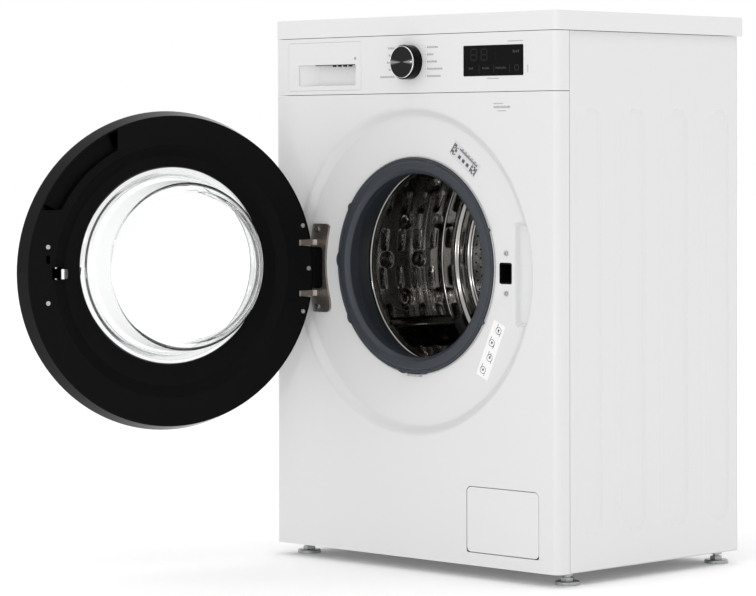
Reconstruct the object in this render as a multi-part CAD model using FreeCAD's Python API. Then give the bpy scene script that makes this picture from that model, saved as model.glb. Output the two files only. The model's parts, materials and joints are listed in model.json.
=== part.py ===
import FreeCAD, Part
import math
import os

# Front load washing machine, slim format. Millimetres, +Z up, front towards -Y.
# The functions below measure Y from the front face, positive to the rear, and Z from the floor.
# Every piece is then moved so that the origin is the centre of the four feet, on the floor.

# Cabinet
WIDTH = 600.0
HEIGHT = 850.0
BODY_DEPTH = 421.6
WORKTOP_REAR_OVERHANG = 20.0
WORKTOP_THICKNESS = 29.0
CONSOLE_HEIGHT = 88.5
FOOT_HEIGHT = 20.0
SHEET = 0.8
CONSOLE_WALL = 2.5
CORNER_RADIUS = 11.0
FRONT_WRAP = 27.0
SEAM = 0.9
FLOOR_PAN_SHEET = 1.5
FLANGE = 22.0

# Pressed ribs of the side panels
RIB_PITCH = 100.0
RIB_WIDTH = 66.0
RIB_DEPTH = 1.6
RIB_FIRST_REAR = 101.0
RIB_BOTTOM = 70.0
RIB_TOP_BELOW_CONSOLE = 25.0
RIB_CORNER = 24.0

# Feet
FOOT_INSET_X = 25.0
FOOT_INSET_FRONT = 50.0
FOOT_INSET_REAR = 21.6
FOOT_PAD_RADIUS = 18.5
FOOT_PAD_HEIGHT = 6.0
FOOT_STUD_RADIUS = 5.0
RUNNING_FIT = 0.06

# Door dish, porthole and door
AXIS_HEIGHT = 467.5
DOOR_HEIGHT = 459.0
DOOR_RADIUS = 247.0
DOOR_BACK_STEP = 8.0
DOOR_RIM_DEPTH = 30.0
DOOR_FRONT_DEPTH = 44.0
DOOR_WALL = 2.5
DOOR_TO_PANEL = 1.0
DOOR_OPEN_ANGLE = 108.0
DISH_DEPTH = 11.0
DISH_CLEARANCE = 5.0
DISH_SLOPE_WIDTH = 16.0
PORT_FROM_RIM = 97.0
PORT_COLLAR = 9.0
HINGE_X_FROM_RIM = 23.0
HINGE_DEPTH = 20.0
HINGE_ARM_SPACING = 80.0
HINGE_ARM_HEIGHT = 9.0
HINGE_ARM_HALF_WIDTH = 6.5
HINGE_PIN_RADIUS = 4.0
HINGE_PLATE_HEIGHT = 139.0
HINGE_PLATE_THICKNESS = 4.0
LOCK_FROM_RIM = 59.5
LOCK_SLOT_WIDTH = 25.0
LOCK_SLOT_HEIGHT = 32.0
LOCK_SCREW_SPACING = 60.0

# Gasket
GASKET_LIP_WIDTH = 15.0
GASKET_INNER_STEP = 9.0
GASKET_WALL = 3.2

# Window
WINDOW_RING_OVERLAP = 4.0
WINDOW_INNER_STEP = 10.5
BOWL_DEPTH = 74.0
BOWL_END_STEP = 25.5
GLASS_WALL = 4.5

# Tub, drum and direct drive
DRUM_RADIUS = 240.0
DRUM_FRONT = 66.0
DRUM_REAR_CLEAR = 105.6
DRUM_SHEET = 1.0
MOUTH_CLEARANCE = 2.0
TUB_GAP = 11.0
TUB_WALL = 4.0
TUB_NECK_FRONT = 46.0
TUB_FRONT_WALL = 58.0
TUB_SPLIT = 193.0
LIFTER_COUNT = 3
LIFTER_HEIGHT = 42.0
SHAFT_RADIUS = 15.0
SHAFT_REAR_RADIUS = 12.5
FRONT_BEARING_RADIUS = 31.0
REAR_BEARING_RADIUS = 26.0
ROTOR_RADIUS = 149.0
STATOR_RADIUS = 134.0
STATOR_TEETH = 24
DAMPER_X = 115.0
DAMPER_RADIUS = 14.0
DAMPER_BORE = 8.0
SPRING_RADIUS = 9.0
SPRING_INSET = 20.0
COUNTERWEIGHT_GAP_ANGLE = 24.0

# Console
KNOB_RADIUS = 26.5
KNOB_DEPTH = 19.5
KNOB_HEIGHT_BELOW_TOP = 41.4
DISPLAY_WIDTH = 121.4
DISPLAY_HEIGHT = 46.0
DISPLAY_INSET = 66.3
DISPLAY_BELOW_TOP = 19.1
FLUSH_GAP = 0.3
DRAWER_WIDTH = 162.0
DRAWER_INSET = 32.0
DRAWER_FRONT_HEIGHT = 75.0
DRAWER_BOX_DEPTH = 237.0
DRAWER_WALL = 2.0
PULL_WIDTH = 128.0
PULL_HEIGHT = 33.0
PULL_DEPTH = 15.5

# Pump flap
FLAP_WIDTH = 144.4
FLAP_HEIGHT = 97.9
FLAP_INSET = 37.8
FLAP_BOTTOM = 40.3
FLAP_THICKNESS = 2.5
FLAP_GAP = 1.0
FLAP_CORNER = 8.0
FLAP_LOW_CORNER = 3.0
FLAP_HINGE_RISE = 6.3
FLAP_EYE_RADIUS = 2.4
FLAP_PIN_RADIUS = 1.4
FLAP_LUG_WIDTH = 6.0
CAP_RADIUS = 27.0

# Water connections
INLET_RADIUS = 13.2
INLET_LENGTH = 16.0
DRAIN_RADIUS = 10.0
DRAIN_LENGTH = 17.0
CONNECTION_SHOULDER = 0.5
CONNECTION_STEP = 0.4

# Places worked out from the values above
HALF = WIDTH / 2
WORKTOP_BOTTOM = HEIGHT - WORKTOP_THICKNESS
CONSOLE_TOP = WORKTOP_BOTTOM - SEAM
CONSOLE_BOTTOM = CONSOLE_TOP - CONSOLE_HEIGHT
PANEL_TOP = CONSOLE_BOTTOM - SEAM
INNER_HALF = HALF - SHEET
FRONT_FOOT_Y = FOOT_INSET_FRONT
REAR_FOOT_Y = BODY_DEPTH - FOOT_INSET_REAR
ORIGIN_Y = (FRONT_FOOT_Y + REAR_FOOT_Y) / 2
FOOT_X = HALF - FOOT_INSET_X
PAN_BOTTOM = FOOT_HEIGHT + 1.2
PAN_TOP = PAN_BOTTOM + FLOOR_PAN_SHEET
BACK_FACE = BODY_DEPTH + 0.1
BACK_OUTER = BACK_FACE + SHEET
DOOR_BACK = -DOOR_TO_PANEL
# Fittings inside the cabinet
REAR_BOSS_RADIUS = 165.0
REAR_BOSS_FOOT = 175.0
REAR_BOSS_RIM = 185.0
REAR_BOSS_RISE = 6.0
TRANSIT_X = 205.0
TRANSIT_RISE = 130.0
PAN_RIM_HEIGHT = 32.0
STRUT_FRONT = 34.0
STRUT_DEPTH = 26.0
TRAY_FRONT = 70.0
TRAY_REAR = 200.0
TRAY_WALL = 2.0
TRAY_HEIGHT = 26.0
VALVE_HALF = 16.0
VALVE_DEPTH = 34.0
COIL_RADIUS = 14.0
COIL_LENGTH = 30.0
PUMP_BODY_BACK = 98.0
PUMP_MOTOR_BACK = 150.0
PUMP_MOTOR_RADIUS = 24.0
PUMP_CHAMBER_RADIUS = 22.0
SUMP_X = 60.0
SUMP_Y = 130.0
TUB_HUB_RADIUS = 45.0

# Sizes that follow from others
LOCK_X = DOOR_RADIUS - LOCK_FROM_RIM
PORT_RADIUS = DOOR_RADIUS - PORT_FROM_RIM
WINDOW_RING_RADIUS = PORT_RADIUS + WINDOW_RING_OVERLAP
WINDOW_RADIUS = PORT_RADIUS - WINDOW_INNER_STEP
BOWL_END_RADIUS = PORT_RADIUS - BOWL_END_STEP
GASKET_OUTER_RADIUS = PORT_RADIUS + GASKET_LIP_WIDTH
GASKET_LIP_RADIUS = PORT_RADIUS - GASKET_INNER_STEP
DRUM_MOUTH_RADIUS = PORT_RADIUS + MOUTH_CLEARANCE
TUB_NECK_RADIUS = PORT_RADIUS + MOUTH_CLEARANCE
DOOR_BACK_RADIUS = DOOR_RADIUS - DOOR_BACK_STEP
DISH_EDGE_RADIUS = DOOR_RADIUS + DISH_CLEARANCE
DISH_FLOOR_RADIUS = DISH_EDGE_RADIUS - DISH_SLOPE_WIDTH
HINGE_X = -(DOOR_RADIUS - HINGE_X_FROM_RIM)
HINGE_Y = -HINGE_DEPTH
DISH_FLOOR_BACK = DISH_DEPTH + SHEET
DRUM_REAR = BODY_DEPTH - DRUM_REAR_CLEAR
TUB_INNER = DRUM_RADIUS + TUB_GAP
TUB_OUTER = TUB_INNER + TUB_WALL
TUB_FLANGE = TUB_OUTER + 7.0
TUB_BACK = DRUM_REAR + 18.0
TUB_BACK_OUTER = TUB_BACK + 6.0
HUB_FRONT = DRUM_REAR + 11.0
HUB_REAR = TUB_BACK_OUTER + 32.0
ROTOR_BACK = HUB_REAR + 8.0
KNOB_Z = CONSOLE_TOP - KNOB_HEIGHT_BELOW_TOP
DISPLAY_RIGHT = HALF - DISPLAY_INSET
DISPLAY_LEFT = DISPLAY_RIGHT - DISPLAY_WIDTH
DISPLAY_TOP = CONSOLE_TOP - DISPLAY_BELOW_TOP
DISPLAY_BOTTOM = DISPLAY_TOP - DISPLAY_HEIGHT
DRAWER_LEFT = -HALF + DRAWER_INSET
DRAWER_RIGHT = DRAWER_LEFT + DRAWER_WIDTH
DRAWER_TOP = CONSOLE_TOP - 7.0
DRAWER_BOTTOM = DRAWER_TOP - DRAWER_FRONT_HEIGHT
PULL_LEFT = DRAWER_LEFT + 22.4
PULL_RIGHT = PULL_LEFT + PULL_WIDTH
PULL_BOTTOM = DRAWER_BOTTOM + 7.2
PULL_TOP = PULL_BOTTOM + PULL_HEIGHT
HOUSING_LEFT = DRAWER_LEFT + 7.0
HOUSING_RIGHT = DRAWER_RIGHT - 3.0
HOUSING_BOTTOM = DRAWER_BOTTOM + 2.0
HOUSING_TOP = DRAWER_TOP - 12.0
HOUSING_REAR = PULL_DEPTH + DRAWER_BOX_DEPTH + 22.0
FLAP_RIGHT = HALF - FLAP_INSET
FLAP_LEFT = FLAP_RIGHT - FLAP_WIDTH
FLAP_TOP = FLAP_BOTTOM + FLAP_HEIGHT
FLAP_HINGE_Y = FLAP_THICKNESS + FLAP_EYE_RADIUS + 0.1
FLAP_HINGE_Z = FLAP_BOTTOM + FLAP_HINGE_RISE
CAP_X = (FLAP_LEFT + FLAP_RIGHT) / 2
CAP_Z = FLAP_BOTTOM + 47.7
SPRING_X = HALF - SPRING_INSET
SPRING_Y = TUB_SPLIT + 6.5
SPRING_BOTTOM = AXIS_HEIGHT + 172.0
SPRING_TOP = WORKTOP_BOTTOM - 45.0
DAMPER_ROWS = (TUB_FRONT_WALL + 107.0, TUB_BACK - 49.0)
DAMPER_CYLINDER_TOP = PAN_TOP + 128.0
INLET_X = (HOUSING_LEFT + HOUSING_RIGHT) / 2
INLET_Z = HOUSING_TOP - 22.0
DRAIN_X = CAP_X + 37.0
DRAIN_Z = CAP_Z - 18.0
LOCK_Z = DOOR_HEIGHT + 1.0


def vec(x, y, z):
    """A point or direction."""
    return FreeCAD.Vector(x, y, z)


def box(x0, x1, y0, y1, z0, z1):
    """A block between two opposite corners."""
    return Part.makeBox(x1 - x0, y1 - y0, z1 - z0, vec(x0, y0, z0))


def rod(radius, start, end):
    """A round bar between two points."""
    start = vec(*start)
    run = vec(*end) - start
    return Part.makeCylinder(radius, run.Length, start, run)


def tube(outer, inner, start, end):
    """A round tube between two points."""
    return rod(outer, start, end).cut(rod(inner, start, end))


def join(shapes):
    """One solid from overlapping or touching shapes."""
    first, rest = shapes[0], shapes[1:]
    return first.fuse(rest).removeSplitter() if rest else first


def group(shapes):
    """Separate solids kept together as one compound."""
    return Part.makeCompound(shapes)


def outline_face(corners, place):
    """A flat face from corners (a, b) or (a, b, corner radius); place turns a and b into a point."""
    edges = []
    stops = []
    for i, corner in enumerate(corners):
        here = FreeCAD.Vector(corner[0], corner[1], 0)
        radius = corner[2] if len(corner) > 2 else 0
        last = corners[i - 1]
        after = corners[(i + 1) % len(corners)]
        to_last = (FreeCAD.Vector(last[0], last[1], 0) - here).normalize()
        to_next = (FreeCAD.Vector(after[0], after[1], 0) - here).normalize()
        if radius:
            half = to_last.getAngle(to_next) / 2
            reach = radius / math.tan(half)
            middle = (to_last + to_next).normalize() * (radius / math.sin(half) - radius)
            stops.append((here + to_last * reach, here + middle, here + to_next * reach))
        else:
            stops.append((here, None, here))
    for i, (start, middle, end) in enumerate(stops):
        if middle is not None:
            points = [place(p.x, p.y) for p in (start, middle, end)]
            edges.append(Part.Arc(*points).toShape())
        begin = place(end.x, end.y)
        finish = stops[(i + 1) % len(stops)][0]
        finish = place(finish.x, finish.y)
        if (finish - begin).Length > 1e-6:
            edges.append(Part.makeLine(begin, finish))
    return Part.Face(Part.Wire(edges))


def turned(corners, x=0.0, z=0.0):
    """A ring turned about the Y direction through (x, z), from (radius, y) corners."""
    face = outline_face(corners, lambda r, y: vec(x + r, y, z))
    return face.revolve(vec(x, 0, z), vec(0, 1, 0), 360)


def front_prism(corners, y0, y1):
    """An (x, z) outline drawn on the front and pushed back from y0 to y1."""
    return outline_face(corners, lambda a, b: vec(a, y0, b)).extrude(vec(0, y1 - y0, 0))


def plan_prism(corners, z0, z1):
    """An (x, y) outline seen from above, raised from z0 to z1."""
    return outline_face(corners, lambda a, b: vec(a, b, z0)).extrude(vec(0, 0, z1 - z0))


def side_prism(corners, x0, x1):
    """A (y, z) outline seen from the side, from x0 to x1."""
    return outline_face(corners, lambda a, b: vec(x0, a, b)).extrude(vec(x1 - x0, 0, 0))


def rectangle(a0, a1, b0, b1, radius=0):
    """Corners of a rectangle with all corners rounded alike."""
    return [(a0, b0, radius), (a1, b0, radius), (a1, b1, radius), (a0, b1, radius)]


def mirrored(shape):
    """The same piece on the other side of the middle plane."""
    return shape.mirror(vec(0, 0, 0), vec(1, 0, 0))


def spun(shape, angle, x=0.0, z=AXIS_HEIGHT):
    """A copy turned about the Y direction through (x, z)."""
    return shape.copy().rotate(vec(x, 0, z), vec(0, 1, 0), angle)


def screw(x, y, z, radius, head, length, facing):
    """A pan head screw with a cross slot; facing is -1 when the head looks forward, 1 when it looks back."""
    top = rod(head, (x, y, z), (x, y + facing * head * 0.55, z))
    shank = rod(radius, (x, y, z), (x, y - facing * length, z))
    reach = head * 0.62
    y_low = min(y + facing * head * 0.25, y + facing * head)
    y_high = max(y + facing * head * 0.25, y + facing * head)
    slot = box(x - reach, x + reach, y_low, y_high, z - 0.5, z + 0.5)
    cross = box(x - 0.5, x + 0.5, y_low, y_high, z - reach, z + reach)
    return top.fuse(shank).cut(slot).cut(cross)


def wrapped_front(wall, z0, z1):
    """The front sheet or shell with its rounded corners, seen from above as a shallow U."""
    inner = HALF - wall
    radius = CORNER_RADIUS - wall
    corners = [
        (-HALF, FRONT_WRAP), (-HALF, 0, CORNER_RADIUS), (HALF, 0, CORNER_RADIUS), (HALF, FRONT_WRAP),
        (inner, FRONT_WRAP), (inner, wall, radius), (-inner, wall, radius), (-inner, FRONT_WRAP),
    ]
    return plan_prism(corners, z0, z1)


def worktop():
    """Top board with rounded edges."""
    rear = BODY_DEPTH + WORKTOP_REAR_OVERHANG
    slab = plan_prism(rectangle(-HALF, HALF, 0, rear, 9), WORKTOP_BOTTOM, HEIGHT)
    edges = [e for e in slab.Edges if e.BoundBox.ZMin > HEIGHT - 0.01]
    slab = slab.makeFillet(2.0, edges)
    rim = 16.0
    pocket = plan_prism(
        rectangle(-HALF + rim, HALF - rim, rim, rear - rim, 4), WORKTOP_BOTTOM - 1, WORKTOP_BOTTOM + 12
    )
    return slab.cut(pocket)


def rib_rear_edges():
    """Depths of the rear edges of the pressed ribs."""
    count = int((BODY_DEPTH - RIB_FIRST_REAR) // RIB_PITCH) + 1
    return [RIB_FIRST_REAR + i * RIB_PITCH for i in range(count)]


def right_side_panel():
    """Side sheet with its flanges, pressed ribs and the bracket that a tub spring hangs from."""
    front = FRONT_WRAP + SEAM
    top = WORKTOP_BOTTOM - SEAM
    low = FOOT_HEIGHT
    panel = [box(INNER_HALF, HALF, front, BODY_DEPTH, low, top)]
    panel.append(box(INNER_HALF - FLANGE, INNER_HALF, BODY_DEPTH - SHEET, BODY_DEPTH, low, top))
    panel.append(box(INNER_HALF - 12, INNER_HALF, front, BODY_DEPTH, low, low + SHEET))
    panel.append(box(INNER_HALF - 12, INNER_HALF, front, BODY_DEPTH, top - SHEET, top))
    panel.append(box(INNER_HALF - 16, INNER_HALF, front, front + SHEET, low, top))
    rib_top = CONSOLE_BOTTOM - RIB_TOP_BELOW_CONSOLE
    backs = []
    pockets = []
    for rear in rib_rear_edges():
        outside = rectangle(rear - RIB_WIDTH, rear, RIB_BOTTOM, rib_top, RIB_CORNER)
        behind = rectangle(
            rear - RIB_WIDTH - SHEET, rear + SHEET, RIB_BOTTOM - SHEET, rib_top + SHEET, RIB_CORNER + SHEET
        )
        pockets.append(side_prism(outside, HALF - RIB_DEPTH, HALF + 1))
        backs.append(side_prism(behind, INNER_HALF - RIB_DEPTH, INNER_HALF))
    hanger = box(SPRING_X - 14, INNER_HALF, SPRING_Y - 16, SPRING_Y + 16, SPRING_TOP, SPRING_TOP + 4)
    return join(panel + backs + [hanger]).cut(pockets)


def left_side_panel():
    """Left sheet side with its pressed ribs."""
    return mirrored(right_side_panel())


def dish_outline():
    """The dish sheet from its rolled edge to the middle, as (radius, y) corners."""
    return [
        (DISH_EDGE_RADIUS, 0), (DISH_EDGE_RADIUS - 5, 0, 6), (DISH_FLOOR_RADIUS, DISH_DEPTH, 8),
        (0, DISH_DEPTH),
        (0, DISH_FLOOR_BACK), (DISH_FLOOR_RADIUS - 0.4, DISH_FLOOR_BACK, 8.8),
        (DISH_EDGE_RADIUS - 5.4, SHEET, 5.2), (DISH_EDGE_RADIUS, SHEET),
    ]


def finger_scoop(grow):
    """The lens at the free side of the dish, where fingers reach behind the door's edge."""
    chord = DISH_FLOOR_RADIUS - 32
    half_height = math.sqrt(DISH_FLOOR_RADIUS**2 - (chord + 1) ** 2) - 40
    lens = rod(DISH_FLOOR_RADIUS + 2 + grow, (0, 0, DOOR_HEIGHT), (0, DISH_DEPTH + 4 + grow, DOOR_HEIGHT))
    window = box(chord - grow, HALF, -1, DISH_DEPTH + 20,
                 DOOR_HEIGHT - half_height - grow, DOOR_HEIGHT + half_height + grow)
    return lens.common(window)


def hinge_window(grow=0.0):
    """The opening between the hinge arms, which the door's rim swings into."""
    half = HINGE_ARM_SPACING / 2 - HINGE_ARM_HEIGHT / 2 - 3.0
    return rectangle(HINGE_X - 5 - grow, HINGE_X + 24 + grow, DOOR_HEIGHT - half - grow,
                     DOOR_HEIGHT + half + grow, 6 + grow)


def front_panel():
    """Sheet front with the round dish, the porthole collar, the finger scoop and the filter opening."""
    skin = wrapped_front(SHEET, FOOT_HEIGHT, PANEL_TOP)
    skin = skin.cut(rod(DISH_EDGE_RADIUS, (0, -1, DOOR_HEIGHT), (0, 5, DOOR_HEIGHT)))
    dish = turned(dish_outline(), z=DOOR_HEIGHT)
    flanges = [
        box(-INNER_HALF + 10, INNER_HALF - 10, SHEET, 18, PANEL_TOP - SHEET, PANEL_TOP),
        box(-INNER_HALF + 10, INNER_HALF - 10, SHEET, 18, FOOT_HEIGHT, FOOT_HEIGHT + SHEET),
    ]
    scoop_back = finger_scoop(SHEET).common(rod(DISH_EDGE_RADIUS, (0, 5, DOOR_HEIGHT), (0, 40, DOOR_HEIGHT)))
    skin = join([skin, dish, scoop_back] + flanges)
    skin = skin.cut(finger_scoop(0))
    collar = tube(PORT_RADIUS + SHEET, PORT_RADIUS, (0, DISH_DEPTH + 0.1, AXIS_HEIGHT),
                  (0, DISH_DEPTH + PORT_COLLAR, AXIS_HEIGHT))
    skin = skin.cut(rod(PORT_RADIUS, (0, 0, AXIS_HEIGHT), (0, 40, AXIS_HEIGHT))).fuse(collar)
    cuts = [
        front_prism(hinge_window(), 0, 20),
        front_prism(rectangle(LOCK_X - LOCK_SLOT_WIDTH / 2, LOCK_X + LOCK_SLOT_WIDTH / 2,
                              LOCK_Z - LOCK_SLOT_HEIGHT / 2, LOCK_Z + LOCK_SLOT_HEIGHT / 2, 3), 0, 20),
        front_prism(flap_opening(), -1, 5),
    ]
    for x, z in lock_screw_places() + hinge_screw_places():
        cuts.append(rod(2.2, (x, 0, z), (x, 20, z)))
    return skin.cut(cuts)


def flap_opening():
    """Opening round the flap; its lower corners are tighter, so that the turning flap clears them."""
    x0 = FLAP_LEFT - FLAP_GAP
    x1 = FLAP_RIGHT + FLAP_GAP
    z0 = FLAP_BOTTOM - FLAP_GAP
    z1 = FLAP_TOP + FLAP_GAP
    top = FLAP_CORNER + FLAP_GAP
    return [(x0, z0, FLAP_LOW_CORNER), (x1, z0, FLAP_LOW_CORNER), (x1, z1, top), (x0, z1, top)]


def lock_screw_places():
    """Places of the two screws that hold the door lock."""
    return [(LOCK_X + 1.5, LOCK_Z + s * LOCK_SCREW_SPACING / 2) for s in (-1, 1)]


def hinge_screw_places():
    """Places of the screws that hold the hinge."""
    reach = HINGE_PLATE_HEIGHT / 2 - 8.5
    return [(HINGE_X + 12.5, DOOR_HEIGHT + s * reach) for s in (-1, 1)]


def control_panel():
    """Console moulding with openings for the knob, the display and the drawer."""
    shell = wrapped_front(CONSOLE_WALL, CONSOLE_BOTTOM, CONSOLE_TOP)
    inner = HALF - CONSOLE_WALL
    flanges = [
        box(-inner + 9, inner - 9, CONSOLE_WALL, 16, CONSOLE_TOP - 2, CONSOLE_TOP),
        box(-inner + 9, inner - 9, CONSOLE_WALL, 16, CONSOLE_BOTTOM, CONSOLE_BOTTOM + 2),
    ]
    shell = join([shell] + flanges)
    cuts = [
        front_prism(rectangle(DRAWER_LEFT - FLUSH_GAP, DRAWER_RIGHT + FLUSH_GAP, DRAWER_BOTTOM - FLUSH_GAP,
                              DRAWER_TOP + FLUSH_GAP, 2.5), -1, 20),
        front_prism(rectangle(DISPLAY_LEFT, DISPLAY_RIGHT, DISPLAY_BOTTOM, DISPLAY_TOP, 2), -1, 20),
        rod(3.0 + RUNNING_FIT, (0, -1, KNOB_Z), (0, 20, KNOB_Z)),
    ]
    return shell.cut(cuts)


def display_window():
    """Dark cover with the display board behind it."""
    glass = front_prism(rectangle(DISPLAY_LEFT, DISPLAY_RIGHT, DISPLAY_BOTTOM, DISPLAY_TOP, 2), -0.3,
                        CONSOLE_WALL)
    lip = front_prism(rectangle(DISPLAY_LEFT - 3, DISPLAY_RIGHT + 3, DISPLAY_BOTTOM - 3, DISPLAY_TOP + 3, 3),
                      CONSOLE_WALL, CONSOLE_WALL + 1.5)
    return join([glass, lip])


def display_board():
    """Printed circuit board with the knob's encoder, the four touch springs and the digit display."""
    low = DISPLAY_BOTTOM - 2
    board = box(-30, DISPLAY_RIGHT + 4, 14.5, 16.1, low, DISPLAY_TOP)
    encoder = tube(8, 3.0 + RUNNING_FIT, (0, 6.5, KNOB_Z), (0, 14.5, KNOB_Z))
    digits = box(DISPLAY_LEFT + 18, DISPLAY_LEFT + 60, 5.5, 14.5, DISPLAY_BOTTOM + 20, DISPLAY_BOTTOM + 38)
    pitch = (DISPLAY_WIDTH - 30) / 3
    keys = [rod(4, (DISPLAY_LEFT + 15 + i * pitch, 4.5, DISPLAY_BOTTOM + 9),
                (DISPLAY_LEFT + 15 + i * pitch, 14.5, DISPLAY_BOTTOM + 9)) for i in range(4)]
    board = board.cut(rod(3.0 + RUNNING_FIT, (0, 10, KNOB_Z), (0, 20, KNOB_Z)))
    return join([board, encoder, digits] + keys)


def knob():
    """Program knob with its hollow back and spindle."""
    cap = turned([(0, -KNOB_DEPTH + 1.0), (KNOB_RADIUS - 3.2, -KNOB_DEPTH + 1.0),
                  (KNOB_RADIUS - 3.2, -KNOB_DEPTH + 4.0),
                  (KNOB_RADIUS - 0.6, -KNOB_DEPTH + 4.0, 0.4), (KNOB_RADIUS, -SEAM),
                  (KNOB_RADIUS - 2.5, -SEAM),
                  (KNOB_RADIUS - 3.5, -KNOB_DEPTH + 7), (7, -KNOB_DEPTH + 7), (7, -2), (0, -2)], z=KNOB_Z)
    shaft = rod(3.0, (0, -4, KNOB_Z), (0, 17.5, KNOB_Z))
    return join([cap, shaft])


def knob_ring():
    """The bright bezel round the knob's face."""
    low = KNOB_RADIUS - 3.2
    high = KNOB_RADIUS - 0.7
    front = -KNOB_DEPTH
    return turned([(low, front + 4.0), (low, front + 0.4, 0.3), (low + 1.0, front), (high - 0.6, front, 0.5),
                   (high, front + 1.5, 0.5), (high, front + 4.0)], z=KNOB_Z)


def drawer_front():
    """Front of the detergent drawer with the hand pull."""
    plate = front_prism(rectangle(DRAWER_LEFT, DRAWER_RIGHT, DRAWER_BOTTOM, DRAWER_TOP, 2), 0, CONSOLE_WALL)
    wall = 1.8
    grip_top = PULL_TOP + 9
    body = box(PULL_LEFT - wall, PULL_RIGHT + wall, CONSOLE_WALL, PULL_DEPTH, PULL_BOTTOM - wall,
               grip_top + wall)
    ramp = PULL_LEFT + 34
    mouth = front_prism(rectangle(PULL_LEFT, PULL_RIGHT, PULL_BOTTOM, PULL_TOP, 3), -1, CONSOLE_WALL + 0.1)
    scoop = plan_prism([(PULL_LEFT, -1), (PULL_RIGHT, -1), (PULL_RIGHT, PULL_DEPTH - wall),
                        (ramp, PULL_DEPTH - wall, 3), (PULL_LEFT, CONSOLE_WALL)], PULL_BOTTOM, PULL_TOP)
    scoop = scoop.common(front_prism(rectangle(PULL_LEFT, PULL_RIGHT, PULL_BOTTOM, PULL_TOP, 3), -2, 30))
    grip = box(ramp, PULL_RIGHT, CONSOLE_WALL + wall, PULL_DEPTH - wall, PULL_TOP - 1, grip_top)
    return join([plate, body]).cut([mouth, scoop, grip])


def drawer_box():
    """Drawer moulding with three bays and the siphon cap."""
    left = HOUSING_LEFT + 3.2
    right = HOUSING_RIGHT - 3.2
    low = HOUSING_BOTTOM + 3.0
    high = HOUSING_TOP - 4.0
    front = PULL_DEPTH
    rear = front + DRAWER_BOX_DEPTH
    w = DRAWER_WALL
    outer = box(left, right, front, rear, low, high)
    third = (right - left - 4 * w) / 3
    bays = []
    for i in range(3):
        x = left + w + i * (third + w)
        bays.append(box(x, x + third, front + w, rear - w, low + w, high + 1))
    spout = box(left + w, right - w, rear - w - 1, rear + 1, low + 22, high + 1)
    return outer.cut(bays + [spout])


def dispenser_housing():
    """Housing the drawer runs in, with the water inlet and the outlet to the tub."""
    w = 2.0
    front = CONSOLE_WALL + 2.5
    outer = box(HOUSING_LEFT, HOUSING_RIGHT, front, HOUSING_REAR, HOUSING_BOTTOM, HOUSING_TOP)
    inner = box(HOUSING_LEFT + w, HOUSING_RIGHT - w, front - 1, HOUSING_REAR - w, HOUSING_BOTTOM + w,
                HOUSING_TOP - w)
    inlet = tube(9, 5.5, (INLET_X, HOUSING_REAR - 1, INLET_Z), (INLET_X, HOUSING_REAR + 14, INLET_Z))
    outlet = tube(15, 12, (INLET_X, HOUSING_REAR - 26, HOUSING_BOTTOM + 1),
                  (INLET_X, HOUSING_REAR - 26, HOUSING_BOTTOM - 14))
    body = join([outer.cut(inner), inlet, outlet])
    body = body.cut(rod(5.5, (INLET_X, HOUSING_REAR - 5, INLET_Z), (INLET_X, HOUSING_REAR + 20, INLET_Z)))
    return body.cut(rod(12, (INLET_X, HOUSING_REAR - 26, HOUSING_BOTTOM - 20),
                        (INLET_X, HOUSING_REAR - 26, HOUSING_BOTTOM + w + 0.5)))


def back_panel():
    """Sheet back with a round pressed boss and the openings for the connections."""
    rise = REAR_BOSS_RISE
    sheet = box(-INNER_HALF + 5, INNER_HALF - 5, BACK_FACE, BACK_OUTER, FOOT_HEIGHT + 12, WORKTOP_BOTTOM - 6)
    boss = turned([(0, BACK_OUTER + rise), (REAR_BOSS_RADIUS, BACK_OUTER + rise, 6),
                   (REAR_BOSS_FOOT, BACK_OUTER, 4), (REAR_BOSS_RIM, BACK_OUTER),
                   (REAR_BOSS_RIM, BACK_FACE), (REAR_BOSS_FOOT - 1, BACK_FACE, 4),
                   (REAR_BOSS_RADIUS - 0.5, BACK_OUTER + rise - SHEET, 6),
                   (0, BACK_OUTER + 6 - SHEET)], z=AXIS_HEIGHT)
    near = BACK_FACE - 10
    far = BACK_OUTER + 40
    sheet = sheet.cut(rod(REAR_BOSS_RIM - 5, (0, near, AXIS_HEIGHT), (0, far, AXIS_HEIGHT)))
    sheet = sheet.fuse(boss).removeSplitter()
    cuts = [
        rod(INLET_RADIUS + 0.4, (INLET_X, near, INLET_Z), (INLET_X, far, INLET_Z)),
        rod(DRAIN_RADIUS + 0.4, (DRAIN_X, near, DRAIN_Z), (DRAIN_X, far, DRAIN_Z)),
        rod(8.0, (HALF - 60, near, INLET_Z), (HALF - 60, far, INLET_Z)),
    ]
    for x, z in transit_places():
        cuts.append(rod(9.0, (x, near, z), (x, far, z)))
    for x, z in back_screw_places():
        cuts.append(rod(2.2, (x, near, z), (x, far, z)))
    return sheet.cut(cuts)


def transit_places():
    """Places of the four transit bolt holes in the back."""
    return [(sx * TRANSIT_X, AXIS_HEIGHT + sz * TRANSIT_RISE) for sx in (-1, 1) for sz in (-1, 1)]


def back_screw_places():
    """Places of the screws that hold the back."""
    levels = [FOOT_HEIGHT + 40, AXIS_HEIGHT, WORKTOP_BOTTOM - 30]
    return [(sx * (INNER_HALF - 12), z) for sx in (-1, 1) for z in levels]


def transit_caps():
    """Plastic plugs that close the holes left by the transit bolts."""
    caps = []
    for x, z in transit_places():
        caps.append(join([rod(13, (x, BACK_OUTER, z), (x, BACK_OUTER + 3, z)),
                          rod(8.9, (x, BACK_FACE - 6, z), (x, BACK_OUTER, z))]))
    return group(caps)


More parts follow.
